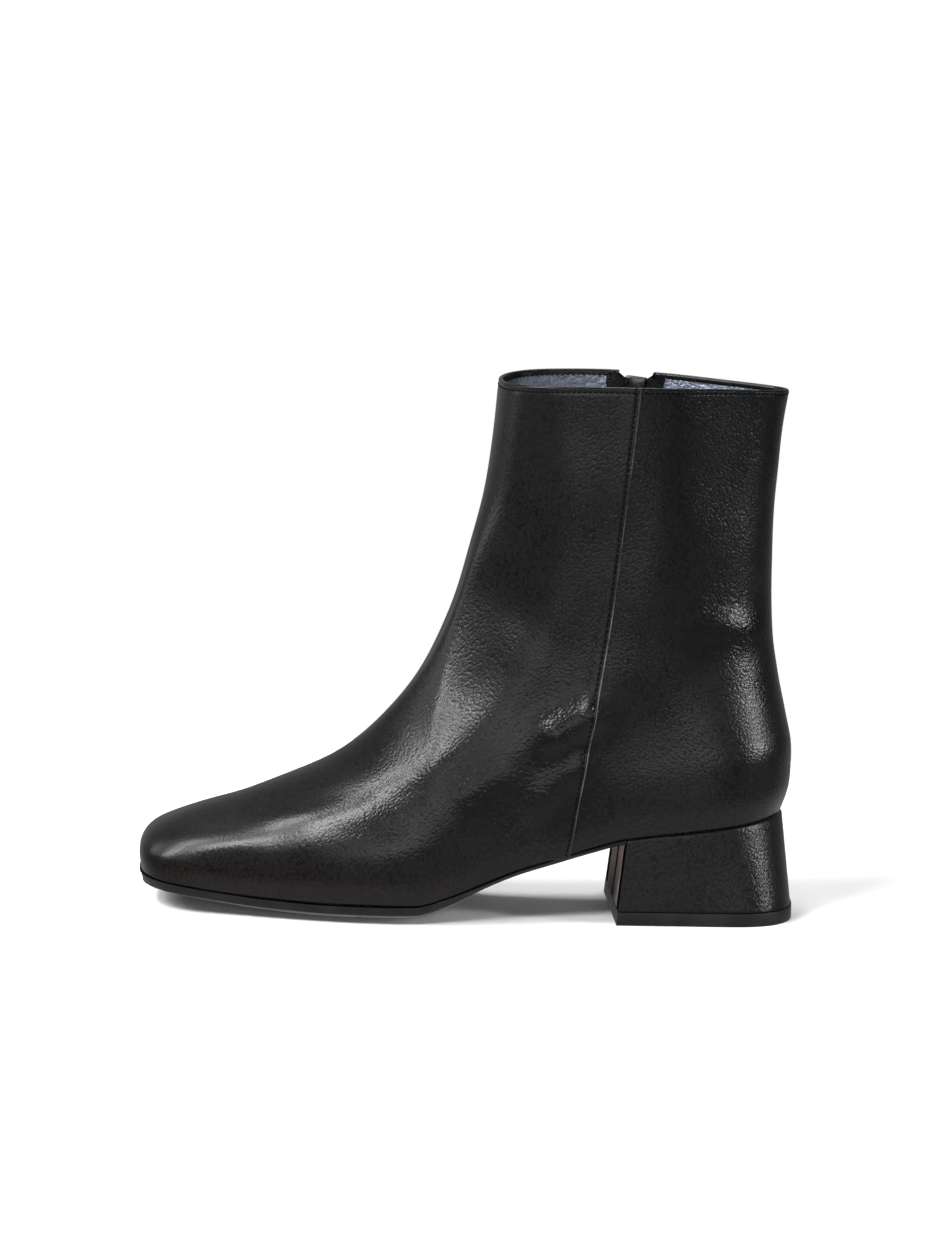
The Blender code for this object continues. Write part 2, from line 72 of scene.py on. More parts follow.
Section = namedtuple(
    "Section",
    "back_x back_z front_x front_z rear mid fore tip back_cap back_power front_cap front_power follow crown",
)
WIDTH_AT = (0.13, 0.42, 0.64, 0.93)
TOE_TAPER = 0.35
CROWN_LEAN = 1.2
SECTIONS = (
    Section(-124.2, 42.3, 128.0, 13.6, 29.5, 30.0, 40.0, 30.5, 40, 2.2, 21, 3.2, 1.00, 0.0),   # feather line
    Section(-127.6, 53.0, 129.0, 20.6, 32.0, 32.0, 43.0, 31.5, 42, 2.2, 24, 3.1, 1.00, 0.0),   # fullest line
    Section(-127.8, 66.0, 125.4, 28.6, 31.8, 32.6, 42.6, 30.5, 43, 2.2, 32, 2.8, 0.95, 0.0),   # toe shoulder
    Section(-125.2, 80.0, 109.8, 36.6, 30.6, 33.0, 39.0, 28.5, 44, 2.1, 48, 2.4, 0.80, 0.0),   # toe box
    Section(-121.5, 96.0, 86.0, 45.2, 29.4, 33.0, 35.0, 26.0, 46, 2.1, 62, 2.1, 0.55, 0.0),    # vamp
    Section(-118.7, 114.0, 53.2, 60.2, 28.6, 32.6, 32.6, 27.0, 48, 2.0, 62, 2.0, 0.30, 0.0),   # instep
    Section(-117.5, 138.0, 26.6, 84.8, 28.0, 32.0, 31.8, 26.5, 52, 2.0, 58, 2.0, 0.10, 0.0),   # ankle bend
    Section(-117.6, 162.0, 10.0, 115.0, 27.2, 31.8, 32.0, 26.5, 58, 2.0, 52, 2.0, 0.00, 0.5),  # over the ankle
    Section(-118.9, 183.0, -0.3, 151.5, 26.2, 31.8, 32.8, 28.0, 66, 2.0, 40, 2.15, 0.00, 1.5), # lower shaft
    Section(-120.2, 196.0, -5.2, 177.0, 25.4, 31.8, 33.4, 29.5, 72, 2.0, 32, 2.3, 0.00, 1.6),  # upper shaft
    Section(-121.8, 208.0, -8.4, 210.6, 24.6, 31.8, 34.0, 31.0, 78, 2.0, 24, 2.5, 0.00, 1.8),  # collar
)
Station = namedtuple("Station", "x value")
FEATHER_HEIGHT = (
    Station(-124.2, 42.3), Station(-112, 40.2), Station(-90, 37.4), Station(-62, 34.0),
    Station(-48, 30.4), Station(-34, 26.2), Station(-20, 21.8), Station(-6, 16.2),
    Station(8, 11.0), Station(TOE_FLAT[0], 7.6), Station(TOE_FLAT[1], 7.6),
    Station(78, 8.4), Station(98, 10.0), Station(112, 11.6), Station(128, 13.6),
)
SWING = (
    Station(-129, 0.0), Station(-70, 0.6), Station(-20, 3.0), Station(35, -1.0),
    Station(85, -5.0), Station(129, -7.0),
)
Height = namedtuple("Height", "z x")
SEAM_LINE = (Height(28, -39.0), Height(75, -46.0), Height(121, -52.8), Height(165, -57.2), Height(212, -61.4))
ZIP_LINE = (Height(28, -46.0), Height(75, -50.5), Height(121, -56.0), Height(165, -60.5), Height(212, -65.0))
ZIP_HALF = 4.7
ZIP_MOUTH_HALF = 7.2
ZIP_MOUTH = 17.0
ZIP_FOOT = 20.0
ZIP_END_Z = 58.0
SLIDER_DROP = 7.4
TAPE_DEPTH = 0.5
TAPE_THICK = 1.0

# Leather work
LEATHER = 0.9           # thickness of the leather, and so of the lapped edge
LAP_FLAT = 2.5          # the lapped edge stands up in full this far from the seam
LAP_FADE = 9.0          # and is level again here
CUT_ROUND = 0.5         # radius of the vamp's cut edge
ZIP_ROUND = 0.6         # radius of the leather's edge along the zip
ZIP_TURN = 1.2          # how far that edge is turned in
ZIP_CALM = (2, 14)      # creases fade out between these distances from the zip
UNDERLAP = 6.0          # how far the quarter runs under the vamp
COLLAR_BEAD = 0.95      # radius of the folded collar edge
COLLAR_TURN = 1.3       # how far the fold runs down inside
LINING_DEPTH = 1.75
LINING_EASE = 0.8       # from the slot's edge
ZIP_FACING = (0.1, 5.4)     # the leather strip behind the zip, from the slot's edge
ZIP_FACING_SINK = 0.3   # under the lining
STITCH_PITCH = 2.1
STITCH_HALF = 0.74
STITCH_THICK = 0.3
STITCH_BED = 0.21       # how deep a stitch lies in the leather
STITCH_SINK = 0.22      # the furrow that a row of stitches pulls in the leather
FURROW_HALF = 0.45
SEAM_STITCH = 1.8       # from the vamp's edge
COLLAR_STITCH = 2.0     # under the collar's edge
ZIP_STITCH = 2.4        # from the slot's edge

# The heel's breast and the zip
BREAST_COLUMNS = (0.075, 0.095, 0.14, 0.25, 0.4, 0.55, 0.72, 0.86)  # shares of the way to a side
FACING_HALF = 22.0      # the breast's two rough facings reach this far from its middle
GROOVE_HALF = 3.0       # and leave a groove between them
GROOVE_DEPTH = 1.1
NOTCH_DEPTH = 1.6       # the groove ends in a notch over the top piece, this much deeper
LIP_DEPTH = 0.12        # the facings' edges along the groove are pressed in a little
TAPE_CLOTH = 0.5        # thickness of the woven tape
TAPE_UNDER = 2.6        # how far the tape runs under the leather
TAPE_SPREAD = 1.5       # how far the tapes part at the collar
TAPE_SLANT = 0.75       # how far the tape ends are cut down towards the teeth
TOOTH_PITCH = 1.7
TOOTH = (2.0, 0.95, 2.1)    # across, up the zip and out
TOOTH_TIP = 0.8         # a tooth narrows to this share at its tip
PLATE = (8.2, 10.0, 1.1)    # the slider's plates, and how far each one stands from the teeth's middle
PLATE_OUT = 2.05
POST = (1.7, 2.6, 4.1)      # between the plates, near the slider's top
POST_UP = 3.4
ARCH_RADIUS = 1.85      # the arch over the pull's end bar
ARCH_THICK = 0.75
ARCH_OUT = 2.4
PULL_UP = -0.5          # the pull's axis on the slider
PULL_CLEAR = 0.95       # and over the outer plate
PULL_WINDOW_HALF = 1.5
Width = namedtuple("Width", "y half")
PULL_OUTLINE = (
    Width(0.55, 2.3), Width(-0.55, 2.8), Width(-5.15, 2.8), Width(-6.4, 2.5), Width(-10, 2.3),
    Width(-14, 2.6), Width(-18, 2.8), Width(-20.6, 2.7), Width(-21.8, 2.2), Width(-22.45, 1.3),
)

# The creases that walking has set: soft troughs (under 0) and ridges (over 0) on the side view. side is
# +1 on the outer side and -1 on the inner side, and bow bends the line up in its middle.
# A crest has tight shoulders, and falls away slowly on both sides.
Crease = namedtuple("Crease", "side x0 z0 x1 z1 bow width height crest", defaults=(0,))
BROAD_CREASE = 8.0      # from this width on, a crease bends the leather without wrinkling it
CREASES = (
    Crease(1, 16, 56, -2, 144, 2, 10.0, 2.5, 1.7),   # front corner of the ankle
    Crease(1, 70, 35, 34, 44, 0, 9.0, 1.1),          # fullness over the ball of the foot
    Crease(1, -14, 126, -36, 102, 0, 8.5, -0.5),     # hollow in front of the ankle bone
    Crease(1, -27, 71, -50, 86, 1, 7.4, 3.1),        # ridge that runs up to the seam
    Crease(1, -23, 45, -43, 66, 1, 6.6, 2.1),        # ridge over the arch
    Crease(1, 6, 50, -12, 61, 1, 6.4, 0.9),          # soft ridge at the foot of the ankle
    Crease(1, -84, 119, -116, 114, 1, 5.4, 0.9),     # fullness at the back of the ankle
    # the inner side, much the same
    Crease(-1, 20, 60, -2, 132, 0, 11.0, 1.4),
    Crease(-1, -16, 140, -34, 104, 0, 9.0, -1.4),
    Crease(-1, -10, 100, -48, 94, -6, 4.5, -0.8),
    Crease(-1, -20, 76, -46, 90, 1, 5.0, 1.5),
    Crease(-1, -12, 54, -34, 72, 1, 4.5, -0.8),
    Crease(-1, -82, 120, -114, 115, 1, 5.4, 0.9),
)

# The grain of the real leather, about 0.6 mm, is drawn coarser so that it shows.
GRAIN = 0.95
GRAIN_DEPTH = 0.095

# Mesh sizes
LEVEL_ROWS = 176
COLLAR_ROWS = 9             # closer rows near the collar
VAMP_STEPS = (100, 112)     # zip to toe, toe to seam
QUARTER_STEPS = (74, 62)    # seam to back, back to zip
EDGE_AT = (0.0, 0.12, 0.3, 0.6, 0.95, 1.3, 1.55, 1.8, 2.05, 2.3, 2.7)   # columns from a rounded edge on
CUT_COLUMNS = 4             # the vamp's last columns, which show its cut edge
LINING_STEPS = (100, 150)   # zip to toe, toe to zip
SOLE_STEPS = (28, 150)      # across and along
SOCK_STEPS = (24, 120)
WRAP_STEPS = (40, 26)       # round one side of the heel, and up it
LIFT_STEPS = (20, 44)       # across and along
TUCK = ((2.4, 0.16), (1.0, 0.18), (0.25, 0.1))   # in under the last and down, row by row

# Camera, read from the photograph's outline
CAMERA_TARGET = (3.374, 1.32, 115.833)
CAMERA_AZIMUTH = 3.015
CAMERA_ELEVATION = 8.987
CAMERA_ROLL = 1.509
CAMERA_DISTANCE = 1903.7
SENSOR = 36
CAMERA_LENS = 4850.9 / 1234 * SENSOR    # from pixels of the photograph's height


def smooth(xs, ys, at):
    """A monotone cubic through the points: it never swings past them."""
    xs, ys, at = (np.asarray(values, float) for values in (xs, ys, at))
    step = np.diff(xs)
    slope = np.diff(ys) / step
    bends = slope[:-1] * slope[1:]
    inner = np.where(bends > 0, 2 * bends / np.where(bends > 0, slope[:-1] + slope[1:], 1), 0)
    tangent = np.concatenate([slope[:1], inner, slope[-1:]])
    i = np.clip(np.searchsorted(xs, at) - 1, 0, len(step) - 1)
    t = np.clip((at - xs[i]) / step[i], 0, 1)
    rise = ys[i] * (2 * t**3 - 3 * t**2 + 1) + ys[i + 1] * (3 * t**2 - 2 * t**3)
    return rise + step[i] * (tangent[i] * (t**3 - 2 * t**2 + t) + tangent[i + 1] * (t**3 - t**2))


def ease(value, start, end):
    """0 before start, 1 after end, with a soft step between."""
    t = np.clip((value - start) / (end - start), 0, 1)
    return t * t * (3 - 2 * t)


def along(stations, at):
    return smooth([s.x for s in stations], [s.value for s in stations], at)


def line_x(line, z):
    return smooth([h.z for h in line], [h.x for h in line], z)


def level_of(rows):
    points = np.array([[r.back_x, r.back_z, r.front_x, r.front_z] for r in rows])
    steps = np.diff(points, axis=0)
    mean = (np.hypot(steps[:, 0], steps[:, 1]) + np.hypot(steps[:, 2], steps[:, 3])) / 2
    return np.concatenate([[0.0], np.cumsum(mean)])


LEVELS = level_of(SECTIONS)
TOP = LEVELS[-1]


def section_at(level):
    return Section(*(float(smooth(LEVELS, column, level)) for column in zip(*SECTIONS)))


def half_outline(s, steps):
    """(x, half width) along one side of a section, from its back end to its front end."""
    angle = np.linspace(0, math.pi / 2, steps)
    back = s.back_cap * (1 - np.cos(angle) ** (2 / s.back_power))
    front = s.front_cap * (1 - np.cos(angle) ** (2 / s.front_power))
    side = np.linspace(s.back_x + s.back_cap, s.front_x - s.front_cap, steps)[1:-1]
    x = np.concatenate([s.back_x + back, side, (s.front_x - front)[::-1]])
    back_round, front_round = (np.sin(angle) ** (2 / power) for power in (s.back_power, s.front_power))
    round_off = np.concatenate([back_round, np.ones(len(side)), front_round[::-1]])
    share = (x - s.back_x) / (s.front_x - s.back_x)
    ends = (0.0, *WIDTH_AT, 1.0)
    widths = (s.rear, s.rear, s.mid, s.fore, s.tip, s.tip - TOE_TAPER * (s.fore - s.tip))
    return x, round_off * smooth(ends, widths, share)


def section_height(s, x):
    share = (x - s.back_x) / (s.front_x - s.back_x)
    sole = along(FEATHER_HEIGHT, x)
    sole_line = (1 - share) * along(FEATHER_HEIGHT, s.back_x) + share * along(FEATHER_HEIGHT, s.front_x)
    straight = (1 - share) * s.back_z + share * s.front_z
    hump = share**CROWN_LEAN
    return straight + s.follow * (sole - sole_line) + s.crown * 4 * hump * (1 - hump)


def middle_y(x, follow=1.0):
    return HEEL_AXIS_Y + follow * along(SWING, x)


def slot_half(z, top_z):
    """Half the zip slot's width at a height."""
    foot = math.sqrt(min(max((z - ZIP_END_Z) / ZIP_FOOT, 0.0), 1.0))
    mouth = min(max(1 - (top_z - z) / ZIP_MOUTH, 0.0), 1.0)
    return ZIP_HALF * foot + (ZIP_MOUTH_HALF - ZIP_HALF) * mouth**1.15


def run_length(points):
    """The length run at each point of a line."""
    return np.concatenate([[0.0], np.cumsum(np.linalg.norm(np.diff(points, axis=0), axis=1))])


class Loop:
    """A closed line round the last, measured from the back past the inner side, the toe and the outer side."""

    def __init__(self, level, steps=150):
        s = section_at(level)
        x, half = half_outline(s, steps)
        z = section_height(s, x)
        middle = middle_y(x, min(1.0, s.follow * 1.25))
        inner = np.stack([x, middle - half, z], axis=1)
        outer = np.stack([x, middle + half, z], axis=1)
        self.level = level
        self.points = np.concatenate([inner, outer[-2::-1]])
        self.length = run_length(self.points)
        index = np.arange(len(self.points))
        last = len(inner) - 1
        self.toe = self.length[last]
        self.seam = float(np.interp(2 * last - self.crossing(outer, SEAM_LINE), index, self.length))
        self.zip = float(np.interp(self.crossing(inner, ZIP_LINE), index, self.length))
        self.whole = self.length[-1]
        self.slot = slot_half(self.at(self.zip)[2], SECTIONS[-1].front_z + SECTIONS[-1].crown / 2)

    @staticmethod
    def crossing(side, line):
        past = side[:, 0] - line_x(line, side[:, 2])
        return float(np.interp(0.0, past, np.arange(len(side))))

    def at(self, distance):
        distance = np.mod(distance, self.whole + 1e-9)
        return np.stack([np.interp(distance, self.length, self.points[:, k]) for k in range(3)], axis=-1)


def settle(points, passes):
    """Evens the surface out a little from row to row, with the first and last rows held."""
    for _ in range(passes):
        points[1:-1] = 0.25 * points[:-2] + 0.5 * points[1:-1] + 0.25 * points[2:]
    return points


def unit(vectors):
    return vectors / np.maximum(np.linalg.norm(vectors, axis=-1, keepdims=True), 1e-9)


class Sheet:
    """A grid of points on the last: rows up the boot, columns along arcs that start and end where told."""

    def __init__(self, loops, arcs):
        self.loops = loops
        self.arcs = np.array(arcs)
        self.points = settle(np.array([loop.at(arc) for loop, arc in zip(loops, arcs)]), 10)
        self.up = unit(np.gradient(self.points, axis=0))
        self.ahead = unit(np.gradient(self.points, axis=1))
        self.out = unit(np.cross(self.ahead, self.up))

    def move(self, heights):
        """Moves each point out of the surface."""
        self.points = self.points + self.out * heights[..., None]
        return self

    def line(self, distances):
        """Points, ways out and ways up along one line: the arc distance in each row."""
        rows = []
        for grid in (self.points, self.out, self.up):
            rows.append(np.array([
                [np.interp(d, arc, row[:, k]) for k in range(3)]
                for d, arc, row in zip(distances, self.arcs, grid)
            ]))
        return rows

    def level_line(self, level):
        """Points, ways out and ways along, at one level."""
        row = np.interp(level, [loop.level for loop in self.loops], np.arange(len(self.loops)))
        low = min(int(row), len(self.loops) - 2)
        share = row - low
        return [grid[low] * (1 - share) + grid[low + 1] * share for grid in (self.points, self.out, self.ahead)]


def crease_height(points):
    """The creases' height and, from 0 to 1, how wrinkled the leather is."""
    x, y, z = points[..., 0], points[..., 1], points[..., 2]
    away = y - middle_y(x)
    height, wrinkled = np.zeros(x.shape), np.zeros(x.shape)
    for c in CREASES:
        run = np.array([c.x1 - c.x0, c.z1 - c.z0])
        length = math.hypot(*run)
        run = run / length
        t = ((x - c.x0) * run[0] + (z - c.z0) * run[1]) / length
        off = (x - c.x0) * -run[1] + (z - c.z0) * run[0]
        off = off * (1 if run[0] > 0 else -1) - c.bow * 4 * t * (1 - t)
        # It runs out softly past both ends, and over the middle of the boot.
        ends = ease(t, -0.25, 0.3) * ease(1.25 - t, 0.0, 0.55) * ease(away * c.side, 0.5, 9)
        fall = (np.hypot(off, c.crest) - c.crest) / c.width if c.crest else (off / c.width) ** 2
        height += c.height * np.exp(-fall) * ends
        if c.width < BROAD_CREASE:
            wrinkled = np.maximum(wrinkled, np.exp(-((off / (2.2 * c.width)) ** 2)) * ends)
    # Slow waves over the whole boot, for hand-lasted leather is never quite even.
    waves = (
        np.sin(x * 0.11 + z * 0.05) * np.sin(z * 0.09 - x * 0.03 + 1.3)
        + 0.6 * np.sin(x * 0.06 - z * 0.17 + y * 0.05 + 0.7)
    )
    return height + 0.14 * waves, wrinkled


def rounded(distance, radius):
    """How far a rounded edge falls away at a distance from it."""
    d = np.minimum(distance, radius)
    return radius - np.sqrt(np.maximum(radius**2 - (radius - d) ** 2, 0))


def edge_arcs(start, end, steps, round_start=False, round_end=False):
    """Arc distances from start to end, with closer steps at an edge that is rounded."""
    first = start + np.array(EDGE_AT) if round_start else np.array([start])
    last = end - np.array(EDGE_AT[::-1]) if round_end else np.array([end])
    middle = np.linspace(first[-1], last[0], steps + 1)[1:-1]
    return np.concatenate([first, middle, last])


def bead_rows(points, out, up, radius, turn):
    """The rows of a folded edge: over a bead, and down the inner side."""
    rows = []
    for angle in np.linspace(0, math.pi, 9)[1:]:
        rows.append(points - out * radius * (1 - math.cos(angle)) + up * radius * math.sin(angle))
    for drop in np.linspace(0, turn, 5)[1:]:
        rows.append(points - out * 2 * radius - up * drop)
    return rows


def tuck_rows(points, out, up):
    """The rows that turn in under the last, over the sole."""
    return [points - out * inward - up * down for inward, down in TUCK]


def to_linear(code):
    """An sRGB hex colour as linear RGBA."""
    parts = [int(code[i : i + 2], 16) / 255 for i in (1, 3, 5)]
    return (*(p / 12.92 if p <= 0.04045 else ((p + 0.055) / 1.055) ** 2.4 for p in parts), 1.0)


def add_node(tree, kind, settings=None, inputs=None):
    """Adds a node, sets its properties, and fills its inputs with values or links."""
    made = tree.nodes.new(kind)
    for key, value in (settings or {}).items():
        setattr(made, key, value)
    for key, value in (inputs or {}).items():
        if isinstance(value, bpy.types.NodeSocket):
            tree.links.new(value, made.inputs[key])
        else:
            made.inputs[key].default_value = value
    return made


def new_material(name, values):
    """A material with one Principled shader, its constants set: the material, its tree and the place on the piece."""
    made = bpy.data.materials.new(name)
    made.use_nodes = True
    tree = made.node_tree
    for key, value in values.items():
        tree.nodes["Principled BSDF"].inputs[key].default_value = value
    return made, tree, add_node(tree, "ShaderNodeTexCoord").outputs["Object"]


def wire(tree, patterns):
    """Leads patterns to the shader's inputs."""
    for key, pattern in patterns.items():
        tree.links.new(pattern, tree.nodes["Principled BSDF"].inputs[key])


def clouds(tree, place, size_mm, detail, more=None):
    """A cloudy pattern from 0 to 1, with clouds of a real size."""
    made = add_node(tree, "ShaderNodeTexNoise", None, {
        "Vector": place, "Scale": 1 / (size_mm * MM), "Detail": detail, **(more or {}),
    })
    return made.outputs["Fac"]


def reckon(tree, operation, *values, clamp=False):
    """One step of arithmetic on patterns."""
    made = add_node(tree, "ShaderNodeMath", {"operation": operation, "use_clamp": clamp}, dict(enumerate(values)))
    return made.outputs[0]


def carry(tree, value, start, end, low, high, soft=False):
    """Carries a range of values over to another range, evenly or in a soft step."""
    made = add_node(tree, "ShaderNodeMapRange", {"interpolation_type": "SMOOTHSTEP" if soft else "LINEAR"}, {
        "Value": value, "From Min": start, "From Max": end, "To Min": low, "To Max": high,
    })
    return made.outputs["Result"]


def blend(tree, share, first, second):
    """Passes from one colour to another, each a hex colour or a pattern."""
    first, second = (to_linear(colour) if isinstance(colour, str) else colour for colour in (first, second))
    made = add_node(tree, "ShaderNodeMix", {"data_type": "RGBA"}, {"Factor": share, "A": first, "B": second})
    return made.outputs[2]


def embossed(tree, height, depth, strength=1.0):
    made = add_node(tree, "ShaderNodeBump", None, {"Strength": strength, "Distance": depth, "Height": height})
    return made.outputs["Normal"]


def height_of(tree, place):
    return add_node(tree, "ShaderNodeSeparateXYZ", None, {"Vector": place}).outputs["Z"]


def grained_leather(name, colour, low_colour, roughness, wrinkle, lean):
    """Finished box calf: dark pigment, a satin wax finish and a fine pebble grain. The grain breaks the
    broad highlights into small sparks, and it draws out into wrinkles where the leather has folded.
    The pebbles are drawn long, along a way that leans from X."""
    made, tree, place = new_material(name, {
        "Specular IOR Level": 0.21, "IOR": 1.5, "Coat Weight": 0.04, "Coat Roughness": 0.25,
    })
    bend = add_node(tree, "ShaderNodeTexNoise", None, {"Vector": place, "Scale": 1 / (4.0 * MM), "Detail": 2.0})
    shift = add_node(tree, "ShaderNodeVectorMath", {"operation": "MULTIPLY_ADD"}, {
        0: bend.outputs["Color"], 1: (0.9 * MM,) * 3, 2: place,
    })
    drawn = add_node(tree, "ShaderNodeMapping", {"vector_type": "TEXTURE"}, {
        "Vector": shift.outputs[0], "Rotation": (0, math.radians(lean), 0), "Scale": (1.4, 1, 1),
    })
    pebbles = add_node(tree, "ShaderNodeTexVoronoi", {"feature": "F1"}, {
        "Vector": drawn.outputs[0], "Scale": 1 / (GRAIN * MM),
    })
    stretch = add_node(tree, "ShaderNodeMapping", None, {"Vector": shift.outputs[0], "Scale": (0.6, 0.8, 1.3)})
    folds = add_node(tree, "ShaderNodeTexVoronoi", {"feature": "SMOOTH_F1"}, {
        "Vector": stretch.outputs[0], "Scale": 1 / (1.8 * GRAIN * MM), "Smoothness": 0.3,
    })
    fold = add_node(tree, "ShaderNodeAttribute", {"attribute_name": "fold"}).outputs["Fac"]
    fold_depth = reckon(tree, "MULTIPLY_ADD", fold, wrinkle, 0.05 * wrinkle)
    domes = reckon(tree, "POWER", pebbles.outputs["Distance"], 2.0)
    pores = clouds(tree, place, 0.7 * GRAIN, 2.0, {"Roughness": 0.6})
    grain = reckon(tree, "MULTIPLY_ADD", pores, 0.4, domes)
    valleys = reckon(tree, "MULTIPLY_ADD", folds.outputs["Distance"], fold_depth, grain)
    split = add_node(tree, "ShaderNodeSeparateXYZ", None, {"Vector": place}).outputs
    # Pulled tight over the toe, the grain is half as deep.
    depth = carry(tree, split["X"], 10 * MM, 80 * MM, GRAIN_DEPTH * MM, 0.5 * GRAIN_DEPTH * MM, soft=True)
    # Towards the sole the colour turns to low_colour, a brownish tint that is a painted reflection of the ground.
    low = carry(tree, split["Z"], 8 * MM, 42 * MM, 1.0, 0.0, soft=True)
    # shade: the base colour darkens towards black in the grain's valleys and deeper in the wrinkles, which is painted
    # shade
    shade = carry(tree, valleys, 0.3, 0.8, 0.0, 0.7)
    wire(tree, {
        "Base Color": blend(tree, shade, blend(tree, low, colour, low_colour), "#020202"),
        "Roughness": carry(tree, clouds(tree, place, 22, 4.0), 0.3, 0.7, roughness - 0.05, roughness + 0.06),
        "Normal": embossed(tree, reckon(tree, "SUBTRACT", 2.0, valleys), depth),
    })
    return made


def cut_edge(name, colour):
    """The cut edge of chrome-tanned leather: a dull blue-grey core that draws a thin pale line along a seam.
    Ink covers it in places at random. Its pale tone is partly the raw core's own and partly a painted highlight: it
    is painted paler at mid height, where the edge catches the light, and darker towards the sole and the collar."""
    made, tree, place = new_material(name, {"Specular IOR Level": 0.12, "Roughness": 0.65})
    fibres = clouds(tree, place, 1.2, 4.0)
    bare = carry(tree, clouds(tree, place, 16, 2.0), 0.35, 0.65, 0.3, 1.5)
    height = height_of(tree, place)
    # foot and leg paint a highlight: the edge is paler at mid height and darker towards the sole and the collar
    foot = carry(tree, height, 34 * MM, 66 * MM, 0.35, 1.0, soft=True)
    leg = carry(tree, height, 104 * MM, 140 * MM, 1.0, 0.45, soft=True)
    pale_share = reckon(tree, "MULTIPLY", reckon(tree, "MULTIPLY", foot, leg), bare)
    wire(tree, {
        "Base Color": blend(tree, reckon(tree, "MULTIPLY", fibres, pale_share, clamp=True), "#141416", colour),
        "Normal": embossed(tree, fibres, 0.1 * MM, 0.6),
    })
    return made


def rough_calf(name, low_colour, high_colour):
    """Leather with its flesh side out, on the heel's breast: a dull nap without any shine, paler near the seat."""
    made, tree, place = new_material(name, {"Specular IOR Level": 0.0, "Roughness": 0.9})
    nap = clouds(tree, place, 1.2, 4.0)
    high = carry(tree, height_of(tree, place), 8 * MM, 32 * MM, -0.35, 0.65)
    share = reckon(tree, "MULTIPLY_ADD", nap, 0.7, high, clamp=True)
    wire(tree, {
        "Base Color": blend(tree, share, low_colour, high_colour),
        "Normal": embossed(tree, nap, 0.1 * MM, 0.6),
    })
    return made


def coated_lining(name):
    """Split leather with a slate coat that holds a little aluminium, so it shines like dull metal at a
    slant and shows a soft crinkle."""
    made, tree, place = new_material(name, {"Metallic": 0.75, "Specular IOR Level": 0.5})
    crinkle = clouds(tree, place, 2.0, 4.0, {"Roughness": 0.6})
    wire(tree, {
        "Base Color": blend(tree, crinkle, "#535b68", "#969fad"),
        "Roughness": carry(tree, crinkle, 0.0, 1.0, 0.26, 0.46),
        "Normal": embossed(tree, crinkle, 0.7 * MM),
    })
    return made


def moulded_rubber(name, colour, worn):
    """Moulded thermoplastic rubber: matt, with a fine sandy skin and paler rubbed patches."""
    made, tree, place = new_material(name, {"Specular IOR Level": 0.25})
    pale_share = clouds(tree, place, 9, 5.0)
    wire(tree, {
        "Base Color": blend(tree, carry(tree, pale_share, 0.45, 0.75, 0.0, 1.0), colour, worn),
        "Roughness": carry(tree, pale_share, 0.0, 1.0, 0.42, 0.62),
        "Normal": embossed(tree, clouds(tree, place, 0.6, 4.0), 0.12 * MM, 0.7),
    })
    return made


def waxed_thread(name, colour):
    """Bonded nylon thread: a faint twist, and dull black that sinks into the leather."""
    made, tree, place = new_material(name, {"Specular IOR Level": 0.06, "Roughness": 0.8})
    twist = clouds(tree, place, 0.5, 2.0)
    wire(tree, {
        "Base Color": blend(tree, twist, "#030304", colour),
        "Normal": embossed(tree, twist, 0.1 * MM, 0.6),
    })
    return made


def woven_tape(name):
    """Polyester zip tape: a fine herringbone of black yarn with a soft, dusty sheen. The real yarn, 0.3 mm,
    is drawn at 0.7 mm so that it shows."""
    made, tree, place = new_material(name, {
        "Roughness": 0.8, "Specular IOR Level": 0.15, "Sheen Weight": 0.03, "Sheen Roughness": 0.5,
    })
    yarns = [
        add_node(tree, "ShaderNodeTexWave", {"bands_direction": way}, {
            "Vector": place, "Scale": 2 * math.pi / 20 / (0.7 * MM), "Distortion": 0.4,
        }).outputs["Fac"]
        for way in ("X", "Z")
    ]
    weave = reckon(tree, "MULTIPLY", *yarns)
    wire(tree, {
        "Base Color": blend(tree, weave, "#050506", "#101012"),
        "Normal": embossed(tree, weave, 0.15 * MM, 0.9),
    })
    return made


def plated_metal(name, colour, roughness):
    """Zinc casting with a black nickel plate: dark and glossy, a little uneven where it is handled."""
    made, tree, place = new_material(name, {"Metallic": 1.0})
    wear = clouds(tree, place, 1.5, 4.0)
    wire(tree, {
        "Base Color": blend(tree, wear, colour, "#5c5c60"),
        "Roughness": carry(tree, wear, 0.3, 0.7, roughness - 0.06, roughness + 0.1),
    })
    return made


def white_paper(name):
    """Seamless paper: matt white, and a little cloudy."""
    made, tree, place = new_material(name, {"Roughness": 0.9, "Specular IOR Level": 0.2})
    wire(tree, {"Base Color": blend(tree, clouds(tree, place, 30, 3.0), "#f4f4f4", "#f8f8f7")})
    return made


def keep_piece(name, bm, finish, slot, *nodes, body="boot", sharp=50):
    """Makes the piece's object, sets its finish, ties it to its body and hides the nodes it stands for. The slot is
    not used.
    """
    mesh = bpy.data.meshes.new(name)
    bm.to_mesh(mesh)
    bm.free()
    mesh.shade_smooth()
    mesh.set_sharp_from_angle(angle=math.radians(sharp))
    for made in finish if isinstance(finish, tuple) else (finish,):
        mesh.materials.append(made)
    piece = bpy.data.objects.new(name, mesh)
    bpy.context.scene.collection.objects.link(piece)
    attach(piece, body)
    if nodes:
        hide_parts(*nodes)


def face_out(bm):
    """Turns a closed solid's faces outwards."""
    bmesh.ops.recalc_face_normals(bm, faces=bm.faces)
    if bm.calc_volume(signed=True) < 0:
        bmesh.ops.reverse_faces(bm, faces=bm.faces)


def matrix_of(*columns):
    """A matrix with three axes and a place as its columns."""
    made = Matrix.Identity(4)
    for k, column in enumerate(columns):
        made.col[k][:3] = [float(v) for v in column]
    return made


